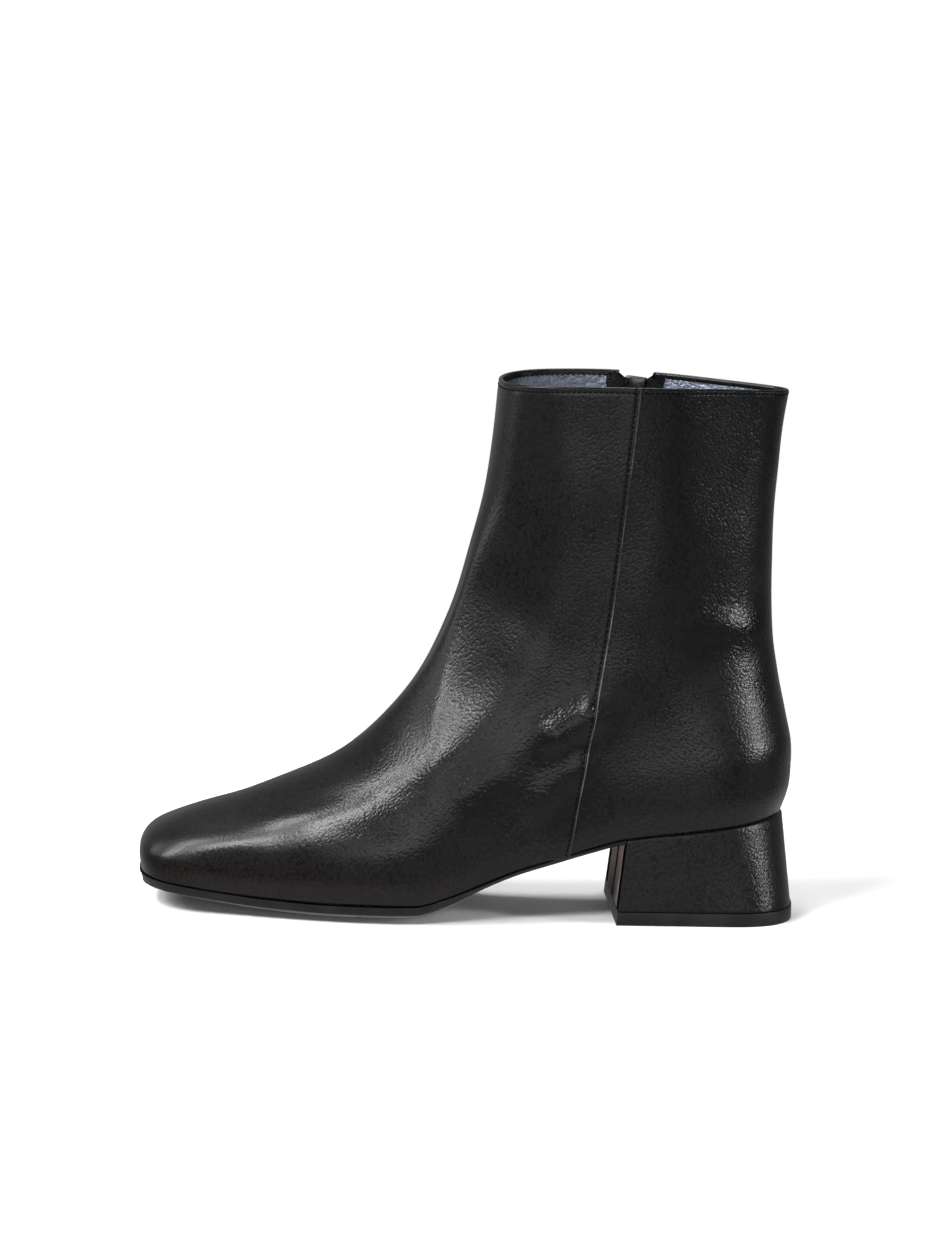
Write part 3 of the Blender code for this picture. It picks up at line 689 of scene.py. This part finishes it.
def grid_mesh(points, fold=None, inward=False):
    """A grid moved onto an array of points, rows by columns."""
    rows, columns = points.shape[:2]
    bm = bmesh.new()
    bmesh.ops.create_grid(bm, x_segments=columns - 1, y_segments=rows - 1, size=1.0)
    layer = bm.verts.layers.float.new("fold") if fold is not None else None
    for vert in bm.verts:
        row, column = round((vert.co.y + 1) / 2 * (rows - 1)), round((vert.co.x + 1) / 2 * (columns - 1))
        vert.co = Vector(points[row, column]) * MM
        if layer is not None:
            vert[layer] = float(fold[row, column])
    if inward:
        bmesh.ops.reverse_faces(bm, faces=bm.faces)
    return bm


def finish_sheet(sheet, fold, left_return=None, right_return=None):
    """A sheet with its edges: returned at the sides, folded over at the collar and tucked in at the sole."""
    points, out, up = sheet.points, sheet.out, sheet.up
    for column, depth in ((0, left_return), (-1, right_return)):
        if depth is None:
            continue
        side = points[:, [column]] - out[:, [column]] * depth
        pairs = ((points, side), *((grid, grid[:, [column]]) for grid in (out, up, fold)))
        points, out, up, fold = (
            np.concatenate((added, grid) if column == 0 else (grid, added), axis=1) for grid, added in pairs
        )
    under = tuck_rows(points[0], out[0], up[0])
    over = bead_rows(points[-1], out[-1], up[-1], COLLAR_BEAD, COLLAR_TURN)
    grid = np.concatenate([np.array(under), points, np.array(over)])
    folds = np.concatenate([np.repeat(fold[:1], len(under), 0), fold, np.repeat(fold[-1:], len(over), 0)])
    return grid, folds


def furrow(distance):
    """How far a row of stitches pulls the leather in, at a distance from the row."""
    return STITCH_SINK * np.exp(-((distance / FURROW_HALF) ** 2))


def collar_furrow(sheet):
    below = TOP - np.array([loop.level for loop in sheet.loops])
    return furrow(below - COLLAR_STITCH)[:, None]


def make_vamp(loops, finish, edge_finish):
    """The front of the upper, from the zip round the toe to the outer seam, where it laps over the quarter."""
    arcs = [
        np.concatenate([
            edge_arcs(loop.zip + loop.slot, loop.toe, VAMP_STEPS[0], round_start=True)[:-1],
            edge_arcs(loop.toe, loop.seam, VAMP_STEPS[1], round_end=True),
        ])
        for loop in loops
    ]
    vamp = Sheet(loops, arcs)
    height, fold = crease_height(vamp.points)
    to_seam = vamp.arcs[:, -1:] - vamp.arcs
    to_zip = vamp.arcs - vamp.arcs[:, :1]
    lap = LEATHER * (1 - ease(to_seam, LAP_FLAT, LAP_FADE)) - rounded(to_seam, CUT_ROUND)
    sewn = furrow(to_seam - SEAM_STITCH) + collar_furrow(vamp) + furrow(to_zip - ZIP_STITCH)
    vamp.move(height * ease(to_zip, *ZIP_CALM) + lap - rounded(to_zip, ZIP_ROUND) - sewn)
    grid, folds = finish_sheet(vamp, fold, left_return=ZIP_TURN, right_return=LEATHER - CUT_ROUND)
    outside = grid_mesh(grid[:, :-CUT_COLUMNS], folds[:, :-CUT_COLUMNS])
    keep_piece("vamp", outside, finish, "black_leather", "upper", sharp=80)
    cut = grid_mesh(grid[:, -CUT_COLUMNS - 1 :])
    keep_piece("vamp_edge", cut, edge_finish, "black_leather", "upper", sharp=80)
    return vamp


def make_quarter(loops, finish):
    """The back of the upper, from under the vamp round the heel to the zip."""
    arcs = [
        np.concatenate([
            edge_arcs(loop.seam - UNDERLAP, loop.whole, QUARTER_STEPS[0])[:-1],
            edge_arcs(loop.whole, loop.whole + loop.zip - loop.slot, QUARTER_STEPS[1], round_end=True),
        ])
        for loop in loops
    ]
    quarter = Sheet(loops, arcs)
    height, fold = crease_height(quarter.points)
    to_zip = quarter.arcs[:, -1:] - quarter.arcs
    sewn = collar_furrow(quarter) + furrow(to_zip - ZIP_STITCH)
    quarter.move(height * ease(to_zip, *ZIP_CALM) - rounded(to_zip, ZIP_ROUND) - sewn)
    grid, folds = finish_sheet(quarter, fold, right_return=ZIP_TURN)
    keep_piece("quarter", grid_mesh(grid, folds), finish, "black_leather", "upper", sharp=80)
    return quarter


def make_lining(loops, finish, facing):
    """The inside: slate lining from the sole to the collar's fold, with black leather along the zip."""
    few = [loop for loop in loops[::2] if loop.level < TOP - COLLAR_BEAD - 0.5 * COLLAR_TURN]
    arcs = [
        np.concatenate([
            np.linspace(loop.zip + loop.slot + LINING_EASE, loop.toe, LINING_STEPS[0])[:-1],
            np.linspace(loop.toe, loop.whole + loop.zip - loop.slot - LINING_EASE, LINING_STEPS[1]),
        ])
        for loop in few
    ]
    lining = Sheet(few, arcs)
    height, _ = crease_height(lining.points)
    lining.move(height - LINING_DEPTH)
    keep_piece("lining", grid_mesh(lining.points, inward=True), finish, "grey_lining", "upper")
    high = [loop for loop in loops if loop.slot > 1.0]
    strips = bmesh.new()
    for way in (1, -1):
        reach = np.linspace(*ZIP_FACING, 7)[::way]
        strip = Sheet(high, [loop.zip + way * (loop.slot + reach) for loop in high])
        strip.move(-np.full(strip.arcs.shape, LINING_DEPTH + ZIP_FACING_SINK))
        made = bpy.data.meshes.new("zip_facing_side")
        side = grid_mesh(strip.points, inward=True)
        side.to_mesh(made)
        side.free()
        strips.from_mesh(made)
        bpy.data.meshes.remove(made)
    keep_piece("zip_facing", strips, facing, "black_leather", "upper")


def spaced(points, others, pitch):
    """Places at equal steps along a line of points, with the same blend of the other rows."""
    length = run_length(points)
    count = max(1, int(length[-1] / pitch))
    at = (np.arange(count) + 0.5) * length[-1] / count
    return [np.stack([np.interp(at, length, row[:, k]) for k in range(3)], axis=1) for row in (points, *others)]


def axes_at(place, first, second, third):
    """A matrix with three axes and a place, all in millimetres."""
    return matrix_of(*(np.asarray(axis) * MM for axis in (first, second, third, place)))


def sew(bm, points, out, run):
    """A row of stitches along a line: each a short, plump thread laid in the leather."""
    places, outs, runs = spaced(points, (out, run), STITCH_PITCH)
    for place, up, ahead in zip(places, unit(outs), unit(runs)):
        across = np.cross(up, ahead)
        centre = place + up * (STITCH_THICK - STITCH_BED)
        bmesh.ops.create_uvsphere(
            bm, u_segments=6, v_segments=6, radius=1.0,
            matrix=axes_at(centre, across * STITCH_THICK, up * STITCH_THICK, ahead * STITCH_HALF),
        )


def make_stitches(vamp, quarter, finish):
    """The rows along the seam, under the collar outside and in, and along the zip."""
    bm = bmesh.new()
    tops = np.array([loop.level for loop in vamp.loops]) < TOP - 1.5
    points, out, up = vamp.line(vamp.arcs[:, -1] - SEAM_STITCH)
    sew(bm, points[tops], out[tops], up[tops])
    for sheet, low, high in ((vamp, ZIP_STITCH, SEAM_STITCH), (quarter, UNDERLAP + 1.0, ZIP_STITCH)):
        points, out, ahead = sheet.level_line(TOP - COLLAR_STITCH)
        arc = sheet.arcs[-1]
        inside = (arc > arc[0] + low) & (arc < arc[-1] - high)
        sew(bm, points[inside], out[inside], ahead[inside])
        inner = points - out * (2 * COLLAR_BEAD + 0.02)
        sew(bm, inner[inside], -out[inside], ahead[inside])
    for sheet, edge in ((vamp, 0), (quarter, -1)):
        way = 1 if edge == 0 else -1
        rows = np.array([loop.slot > 0.8 and loop.level < TOP - 1.5 for loop in sheet.loops])
        points, out, up = sheet.line(sheet.arcs[:, edge] + way * ZIP_STITCH)
        sew(bm, points[rows], out[rows], up[rows])
    keep_piece("stitching", bm, finish, "black_leather")


def foot_outline(inset):
    """(x, half width) along the feather line, moved in by a distance, from the heel to the toe."""
    x, half = half_outline(SECTIONS[0], 90)
    dx, dw = np.gradient(x), np.gradient(half)
    size = np.hypot(dx, dw)
    new_x, new_half = x + inset * dw / size, half - inset * dx / size
    back, front = x[0] + inset, x[-1] - inset
    keep = (new_half > 0.2) & (new_x > back) & (new_x < front)
    return np.array([back, *new_x[keep], front]), np.array([0.0, *new_half[keep], 0.0])


def even(outline, count, start_x=None):
    """The outline cut into equal steps along its length, from start_x to the toe."""
    x, half = outline
    if start_x is not None:
        keep = x > start_x
        half = np.concatenate([[np.interp(start_x, x, half)], half[keep]])
        x = np.concatenate([[start_x], x[keep]])
    length = run_length(np.stack([x, half], axis=1))
    at = np.linspace(0, length[-1], count + 1)
    return np.interp(at, length, x), np.interp(at, length, half)


def tread_rise(share, half):
    edge = max(0.0, (abs(share) - TREAD_FLAT) / (1 - TREAD_FLAT)) ** 2
    return max(edge, 1 - min(1.0, half / TREAD_END))


def sole_thickness(x):
    return along((Station(-62, WAIST_THICK), Station(-10, WAIST_THICK), Station(14, SOLE_THICK),
                  Station(130, SOLE_THICK)), x)


def sole_hollow(x):
    ball = along(FEATHER_HEIGHT, TOE_FLAT[0]) - FIT - SOLE_THICK
    return along((Station(-54, 0.0), Station(-20, 1.4), Station(TOE_FLAT[0], ball),
                  Station(TOE_FLAT[1], ball), Station(128, 1.6)), x)


def sole_sheet(outline, lift, drop):
    """A surface over the outline, at a height over the last's bottom, less a share of the sole's thickness."""
    x, half = outline
    steps = len(x) - 1
    base = along(FEATHER_HEIGHT, x) + lift - drop * sole_thickness(x)
    hollow, middle = sole_hollow(x), middle_y(x)

    def place(across, length):
        i = round(length * steps)
        share = 2 * across - 1
        height = base[i] - hollow[i] * (1 - tread_rise(share, half[i]))
        return x[i], middle[i] + share * half[i], max(height, 0.0)

    return place


def plate(columns, rows, top, bottom):
    """A closed solid between two surfaces, each a function of a share across and a share along."""
    bm = bmesh.new()
    bmesh.ops.create_grid(bm, x_segments=columns, y_segments=rows, size=1.0)
    made = bmesh.ops.extrude_face_region(bm, geom=bm.faces[:])
    lower = [item for item in made["geom"] if isinstance(item, bmesh.types.BMVert)]
    upper = set(bm.verts) - set(lower)
    for verts, place in ((upper, top), (lower, bottom)):
        for vert in verts:
            vert.co = Vector(place((vert.co.x + 1) / 2, (vert.co.y + 1) / 2)) * MM
    bmesh.ops.remove_doubles(bm, verts=bm.verts, dist=0.01 * MM)
    bmesh.ops.dissolve_degenerate(bm, edges=bm.edges, dist=0.001 * MM)
    face_out(bm)
    return bm


def soften(bm, width, segments=3, angle=40):
    """Rounds the edges that turn more than an angle."""
    sharp = [
        edge for edge in bm.edges
        if len(edge.link_faces) == 2 and edge.calc_face_angle(0.0) > math.radians(angle)
    ]
    bmesh.ops.bevel(
        bm, geom=sharp, offset=width * MM, offset_type="OFFSET", segments=segments, profile=0.5,
        affect="EDGES", clamp_overlap=True, material=-1,
    )
    return bm


def make_soles(rubber, lining):
    """The sole's band from the heel's breast to the toe, and the sock inside."""
    start = BREAST_TOP_X + FIT
    top, base = (even(foot_outline(inset), SOLE_STEPS[1], start) for inset in (-SOLE_PROUD, EDGE_ROUND))
    outsole = plate(*SOLE_STEPS, sole_sheet(top, -FIT, 0), sole_sheet(base, -FIT, 1))
    keep_piece("outsole_band", soften(outsole, 0.35, 2), rubber, "sole_rubber", "outsole")
    line = even(foot_outline(WALL + INSOLE_EASE), SOCK_STEPS[1])
    sock = plate(*SOCK_STEPS, sole_sheet(line, INSOLE_THICK, 0), sole_sheet(line, 0, 0))
    keep_piece("insole_sock", soften(sock, 0.5, 2), lining, "grey_lining", "insole")


def heel_seat(x):
    line_of_x, half = foot_outline(-WRAP_PROUD)
    return np.interp(x, line_of_x, half)


def heel_base(x, grow=0.0):
    share = np.clip((x - HEEL_BASE_BACK_X + grow) / HEEL_BASE_CAP, 0, 1)
    return (HEEL_BASE_HALF + grow) * (1 - (1 - share) ** HEEL_BASE_POWER) ** (1 / HEEL_BASE_POWER)


def heel_stations(front_x, back_x, steps):
    return back_x + (front_x - back_x) * (1 - np.cos(math.pi / 2 * np.linspace(0, 1, steps + 1)))


def breast_x(z):
    share = z / along(FEATHER_HEIGHT, BREAST_TOP_X)
    return BREAST_BASE_X + (BREAST_TOP_X - BREAST_BASE_X) * share


def heel_ring(share, steps):
    """The heel's outline at a share of its height: along the outer side to the back, and round to the breast."""
    base_x = heel_stations(breast_x(LIFT_THICK + FIT), HEEL_BASE_BACK_X, steps)
    seat_x = heel_stations(BREAST_TOP_X, SECTIONS[0].back_x - WRAP_PROUD, steps)
    base_z, seat_z = np.full(steps + 1, LIFT_THICK + FIT), along(FEATHER_HEIGHT, seat_x) - FIT
    x = base_x + (seat_x - base_x) * share
    half = heel_base(base_x) + (heel_seat(seat_x) - heel_base(base_x)) * share
    z = base_z + (seat_z - base_z) * share
    outer = np.stack([x, HEEL_AXIS_Y + half, z], axis=1)[::-1]
    inner = np.stack([x, HEEL_AXIS_Y - half, z], axis=1)[1:]
    return np.concatenate([outer, inner])


def drawn_in(ring, radius, turn):
    """The heel's top outline moved in and down, along the quarter round of its rim."""
    middle = np.array([(ring[0, 0] + ring[:, 0].min()) / 2, HEEL_AXIS_Y])
    away = unit(ring[:, :2] - middle)
    moved = ring.copy()
    moved[:, :2] -= away * radius * (1 - math.cos(turn))
    moved[:, 2] -= radius * (1 - math.sin(turn))
    return moved


def make_heel(leather, rubber):
    """The covered block: leather folded round to the breast, with two rough facings that meet in a groove."""
    steps, rows = WRAP_STEPS
    shares = np.linspace(0, 1, rows + 1)
    across = np.array([*(-v for v in BREAST_COLUMNS[::-1]), *BREAST_COLUMNS])
    from_middle = np.abs(across)
    groove, lip = from_middle <= BREAST_COLUMNS[0], from_middle == BREAST_COLUMNS[1]
    grid = []
    turns = np.linspace(0, math.pi / 2, 6)
    rings = [heel_ring(share, steps) for share in shares * (1 - RIM_ROUND / SECTIONS[0].back_z)]
    rings += [drawn_in(heel_ring(1.0, steps), RIM_ROUND, turn) for turn in turns]
    for share, line in zip((*shares, *np.ones(len(turns))), rings):
        left, right = line[-1], line[0]
        breast = left + (right - left) * ((across + 1) / 2)[:, None]
        notch = NOTCH_DEPTH * ease(0.16 - share, 0.0, 0.06)
        breast[:, 0] -= groove * (GROOVE_DEPTH + notch) + lip * LIP_DEPTH
        grid.append(np.concatenate([line, breast, line[:1]]))
    bm = grid_mesh(np.array(grid))
    bmesh.ops.remove_doubles(bm, verts=bm.verts, dist=0.01 * MM)
    bmesh.ops.holes_fill(bm, edges=[edge for edge in bm.edges if edge.is_boundary], sides=0)
    face_out(bm)
    soften(bm, 0.5, 3, 50)
    for face in bm.faces:
        if face.normal.x > 0.9:
            aside = abs(face.calc_center_median().y / MM - HEEL_AXIS_Y)
            face.material_index = 1 if GROOVE_HALF < aside < FACING_HALF else 2
    # The facings' pale colours are partly painted light: they stand in for the lamps at the toe side, whose light the
    # forefoot keeps off the breast.
    facing = rough_calf("rough_calf", "#6f6664", "#a89b98")
    margin = rough_calf("folded_calf", "#070708", "#0a0a0b")
    keep_piece("heel_wrap", bm, (leather, facing, margin), "heel_leather", "heel_block")
    top, base = (heel_slice(z) for z in (LIFT_THICK, 0.0))
    top_piece = soften(plate(*LIFT_STEPS, top, base), 0.45, 3)
    keep_piece("heel_top_piece", top_piece, rubber, "sole_rubber", "heel_lift")


def heel_slice(z):
    """The top piece's outline at a height, filled in."""
    stations = heel_stations(breast_x(z), HEEL_BASE_BACK_X - TOP_PIECE_PROUD, LIFT_STEPS[1])

    def place(across, length):
        x = stations[round(length * LIFT_STEPS[1])]
        return x, HEEL_AXIS_Y + (2 * across - 1) * heel_base(x, TOP_PIECE_PROUD), z

    return place


def zip_axes(loop):
    """The middle of the zip at a level, the way to the slot's front edge, and the way out of the boot."""
    front, rear = loop.at(loop.zip + loop.slot + FIT), loop.at(loop.zip - loop.slot - FIT)
    ahead = unit(front - rear)
    out = np.cross(ahead, [0.0, 0.0, 1.0])
    out = -out if out[1] > 0 else out
    return loop.at(loop.zip), ahead, unit(out)


def make_zip(loops, tape, teeth):
    """Both tapes, and the teeth along them: locked together under the slider and spread over it."""
    rows = [loop for loop in loops if loop.slot > 0.3]
    middles, aheads, outs = (np.array(part) for part in zip(*(zip_axes(loop) for loop in rows)))
    below = middles[-1, 2] - middles[:, 2]
    inner = np.array([max(0.1, loop.slot - ZIP_HALF) for loop in rows]) + TAPE_SPREAD * (1 - ease(below, 2, 9))
    edge = np.array([loop.slot + TAPE_UNDER for loop in rows])
    shorter = 1 - ease(below, 0, 14)
    tooth_bm = bmesh.new()
    for side, name, node in ((1, "tape_front", "zip_tape_front"), (-1, "tape_back", "zip_tape_back")):
        reach = inner[:, None] + (edge - inner)[:, None] * np.linspace(0, 1, 9)[None, ::-side]
        depth = -TAPE_DEPTH - 0.45 - 0.9 * ease(reach, ZIP_HALF - 1.2, ZIP_HALF)
        points = middles[:, None] + side * reach[..., None] * aheads[:, None] + depth[..., None] * outs[:, None]
        points[..., 2] -= shorter[:, None] * TAPE_SLANT * np.maximum(rows[-1].slot - reach, 0)
        bm = grid_mesh(points)
        bm.normal_update()
        if sum(face.normal.y for face in bm.faces) > 0:
            bmesh.ops.reverse_faces(bm, faces=bm.faces)
        bmesh.ops.solidify(bm, geom=bm.faces[:], thickness=TAPE_CLOTH * MM)
        keep_piece(name, bm, tape, "zip_tape", node)
        line = middles + side * (inner + 0.75)[:, None] * aheads - outs * (TAPE_DEPTH + TAPE_THICK / 2)
        low = (below > 0.55 * TAPE_SLANT * ZIP_HALF) & (edge > 4.4)
        places, along_zip, out_at = spaced(line[low], (aheads[low], outs[low]), TOOTH_PITCH)
        run = unit(np.gradient(places, axis=0))
        places = places + run * (0.25 * TOOTH_PITCH * side)
        for place, across, out, up in zip(places, along_zip, out_at, run):
            axes = (axis * size for axis, size in zip((across, up, out), TOOTH))
            made = bmesh.ops.create_cube(tooth_bm, size=1.0, matrix=axes_at(place, *axes))["verts"]
            tip = [v for v in made if (v.co - Vector(place) * MM).dot(Vector(across)) * side < 0]
            bmesh.ops.scale(
                tooth_bm, vec=(TOOTH_TIP,) * 3, verts=tip,
                space=Matrix.Translation(-sum((v.co for v in tip), Vector()) / len(tip)),
            )
    soften(tooth_bm, 0.18, 2)
    keep_piece("zip_teeth", tooth_bm, teeth, "zip_tape")


def slider_place(loops):
    """The slider's axes: X to the slot's front edge, Y up the zip, Z out of the boot."""
    rows = [*loops, Loop(TOP)]
    heights = [loop.at(loop.zip)[2] for loop in rows]
    level = float(np.interp(heights[-1] - SLIDER_DROP, heights, [loop.level for loop in rows]))
    loop, above = Loop(level), Loop(min(level + 2, TOP))
    middle, _, out = zip_axes(loop)
    up = above.at(above.zip) - middle
    up = unit(up - out * np.dot(up, out))
    return matrix_of(np.cross(up, out), up, out, middle * MM)


def slab(bm, size, centre, narrow=1.0):
    """A flat block, narrower at its lower end."""
    made = bmesh.ops.create_cube(bm, size=1.0)["verts"]
    bmesh.ops.scale(bm, vec=[s * MM for s in size], verts=made)
    for vert in made:
        if vert.co.y < 0:
            vert.co.x *= narrow
    bmesh.ops.translate(bm, vec=[c * MM for c in centre], verts=made)


def make_slider(place, metal):
    """Two plates round the teeth, the post between them, and the arch that holds the pull: gives the height
    of the pull's axis."""
    middle = -TAPE_DEPTH - TAPE_THICK / 2
    bm = bmesh.new()
    for way in (1, -1):
        slab(bm, PLATE, (0, 0, middle + way * PLATE_OUT), narrow=0.8)
    slab(bm, POST, (0, POST_UP, middle))
    soften(bm, 0.4, 3)
    arch = bmesh.ops.create_circle(bm, cap_ends=False, radius=ARCH_THICK * MM, segments=12)["verts"]
    bmesh.ops.translate(bm, verts=arch, vec=Vector((0, ARCH_RADIUS + PULL_UP, middle + ARCH_OUT)) * MM)
    edges = list({edge for vert in arch for edge in vert.link_edges})
    bmesh.ops.spin(
        bm, geom=arch + edges, cent=Vector((0, PULL_UP, middle + ARCH_OUT)) * MM, axis=(1, 0, 0),
        angle=math.pi, steps=14, dvec=(0, 0, 0), use_merge=False,
    )
    bmesh.ops.recalc_face_normals(bm, faces=bm.faces)
    bmesh.ops.transform(bm, matrix=place, verts=bm.verts)
    keep_piece("slider", bm, metal, "dark_metal", "zip_slider")
    return middle + PLATE_OUT + PLATE[2] / 2 + PULL_CLEAR


def make_pull(place, axis_z, metal):
    """The tab: a flat bar with a window whose end bar lies under the arch. It hangs down and is wider below."""
    rows = len(PULL_OUTLINE) - 1
    bm = bmesh.new()
    bmesh.ops.create_grid(bm, x_segments=3, y_segments=rows, size=1.0)
    window = []
    for face in bm.faces:
        middle = face.calc_center_median()
        if round((1 - middle.y) / 2 * rows - 0.5) == 1 and abs(middle.x) < 0.3:
            window.append(face)
    for vert in bm.verts:
        width = PULL_OUTLINE[round((1 - vert.co.y) / 2 * rows)]
        side = round((vert.co.x + 1) / 2 * 3)
        inner = min(PULL_WINDOW_HALF, 0.55 * width.half)
        vert.co = Vector(((-width.half, -inner, inner, width.half)[side], width.y, 0)) * MM
    bmesh.ops.delete(bm, geom=window, context="FACES")
    bmesh.ops.solidify(bm, geom=bm.faces[:], thickness=1.0 * MM)
    face_out(bm)
    soften(bm, 0.28, 3)
    low, high = (f([v.co.z for v in bm.verts]) for f in (min, max))
    bmesh.ops.translate(bm, verts=bm.verts, vec=(0, 0, -(low + high) / 2))
    bmesh.ops.transform(bm, matrix=place @ Matrix.Translation(Vector((0, PULL_UP, axis_z)) * MM), verts=bm.verts)
    keep_piece("pull_tab", bm, metal, "dark_metal", "zip_pull", body="pull")


def make_camera():
    """The photograph's own view."""
    azimuth, elevation, roll = (math.radians(v) for v in (CAMERA_AZIMUTH, CAMERA_ELEVATION, CAMERA_ROLL))
    back = Vector((
        math.sin(azimuth) * math.cos(elevation), math.cos(azimuth) * math.cos(elevation), math.sin(elevation),
    ))
    right = Vector((-math.cos(azimuth), math.sin(azimuth), 0))
    up = back.cross(right)
    turned = right * math.cos(roll) + up * math.sin(roll), up * math.cos(roll) - right * math.sin(roll)
    data = bpy.data.cameras.new("camera")
    data.lens = CAMERA_LENS
    data.sensor_width = SENSOR
    camera = bpy.data.objects.new("camera", data)
    bpy.context.scene.collection.objects.link(camera)
    camera.matrix_world = matrix_of(*turned, back, (Vector(CAMERA_TARGET) + back * CAMERA_DISTANCE) * MM)
    bpy.context.scene.camera = camera


Lamp = namedtuple("Lamp", "name place target width height watts spread", defaults=(180,))
LAMPS = (
    Lamp("key_softbox", (0.71, 0.91, 1.04), (0.03, 0.03, 0.05), 0.4, 0.4, 20),
    Lamp("vamp_softbox", (0.91, 0.25, 1.21), (0.1, 0.02, 0.03), 0.3, 0.3, 10),
    Lamp("corner_softbox", (1.18, 0.42, 1.0), (0.01, 0.03, 0.08), 0.2, 0.2, 7.5),
    Lamp("toe_softbox", (1.4, 0.3, 0.86), (0.01, 0.02, 0.09), 0.14, 0.3, 6.5),
    Lamp("low_softbox", (0.48, -0.11, 0.24), (0.0, 0.01, 0.11), 0.1, 0.16, 0.22),
    Lamp("front_softbox", (-0.1, 1.5, 0.36), (-0.05, 0.02, 0.08), 1.3, 0.42, 6.5),
    Lamp("top_softbox", (-0.05, -0.4, 1.5), (0, 0, 0.02), 1.0, 0.7, 17),
    Lamp("heel_softbox", (-1.29, 0.53, 0.38), (-0.11, 0.02, 0.04), 0.25, 0.22, 0.13, 16),
)


def make_light():
    """Softboxes, a faint wall behind the boot, a glow from the ground, and white for the camera alone."""
    for lamp in LAMPS:
        data = bpy.data.lights.new(lamp.name, "AREA")
        data.shape = "RECTANGLE"
        data.size, data.size_y = lamp.width, lamp.height
        data.energy = lamp.watts
        data.spread = math.radians(lamp.spread)
        made = bpy.data.objects.new(lamp.name, data)
        made.visible_camera = False
        bpy.context.scene.collection.objects.link(made)
        made.location = lamp.place
        made.rotation_euler = (Vector(lamp.target) - Vector(lamp.place)).to_track_quat("-Z", "Y").to_euler()
    world = bpy.data.worlds.new("studio")
    bpy.context.scene.world = world
    world.use_nodes = True
    tree = world.node_tree
    tree.nodes.clear()
    seen = add_node(tree, "ShaderNodeLightPath").outputs["Is Camera Ray"]
    way = add_node(tree, "ShaderNodeTexCoord").outputs["Generated"]
    split = add_node(tree, "ShaderNodeSeparateXYZ", None, {"Vector": way})
    wall = carry(tree, split.outputs["Y"], -0.95, 0.1, 0.3, 0.07, soft=True)
    ground = carry(tree, split.outputs["Z"], -0.55, -0.1, 0.8, 0.0, soft=True)
    room = add_node(tree, "ShaderNodeBackground", None, {
        "Color": to_linear("#ffffff"), "Strength": reckon(tree, "ADD", wall, ground),
    })
    paper = add_node(tree, "ShaderNodeBackground", None, {"Color": to_linear("#ffffff"), "Strength": 1.0})
    mix = add_node(tree, "ShaderNodeMixShader", None, {0: seen, 1: room.outputs[0], 2: paper.outputs[0]})
    add_node(tree, "ShaderNodeOutputWorld", None, {"Surface": mix.outputs[0]})
    bpy.context.scene.view_settings.view_transform = "Standard"


def make_floor():
    """White paper under the boot. The leather doesn't mirror it."""
    bm = bmesh.new()
    bmesh.ops.create_circle(bm, cap_ends=True, cap_tris=False, radius=0.36, segments=128)
    mesh = bpy.data.meshes.new("floor")
    bm.to_mesh(mesh)
    bm.free()
    mesh.materials.append(white_paper("white_paper"))
    floor = bpy.data.objects.new("floor", mesh)
    bpy.context.scene.collection.objects.link(floor)
    floor.visible_glossy = False


def main():
    leather = grained_leather("black_box_calf", "#131315", "#14100e", 0.28, 1.6, 50)
    quarter_leather = grained_leather("black_quarter_calf", "#131315", "#14100e", 0.28, 1.6, -35)
    heel_leather = grained_leather("black_heel_calf", "#131316", "#131316", 0.33, 1.3, 90)
    lining = coated_lining("slate_lining")
    rubber = moulded_rubber("black_rubber", "#0e0e10", "#19191c")
    thread = waxed_thread("black_thread", "#070708")
    tape = woven_tape("black_zip_tape")
    teeth = plated_metal("black_zip_teeth", "#1b1b1d", 0.34)
    metal = plated_metal("black_nickel", "#1a1a1c", 0.2)
    near_collar = TOP - np.linspace(3.6, COLLAR_BEAD, COLLAR_ROWS)
    loops = [Loop(level) for level in (*np.linspace(0, TOP - 4.4, LEVEL_ROWS), *near_collar)]
    vamp = make_vamp(loops, leather, cut_edge("cut_leather_edge", "#72727b"))
    quarter = make_quarter(loops, quarter_leather)
    make_lining(loops, lining, leather)
    make_stitches(vamp, quarter, thread)
    make_soles(rubber, lining)
    make_heel(heel_leather, rubber)
    make_zip(loops, tape, teeth)
    place = slider_place(loops)
    axis_z = make_slider(place, metal)
    make_pull(place, axis_z, metal)
    make_floor()
    make_light()
    make_camera()


main()
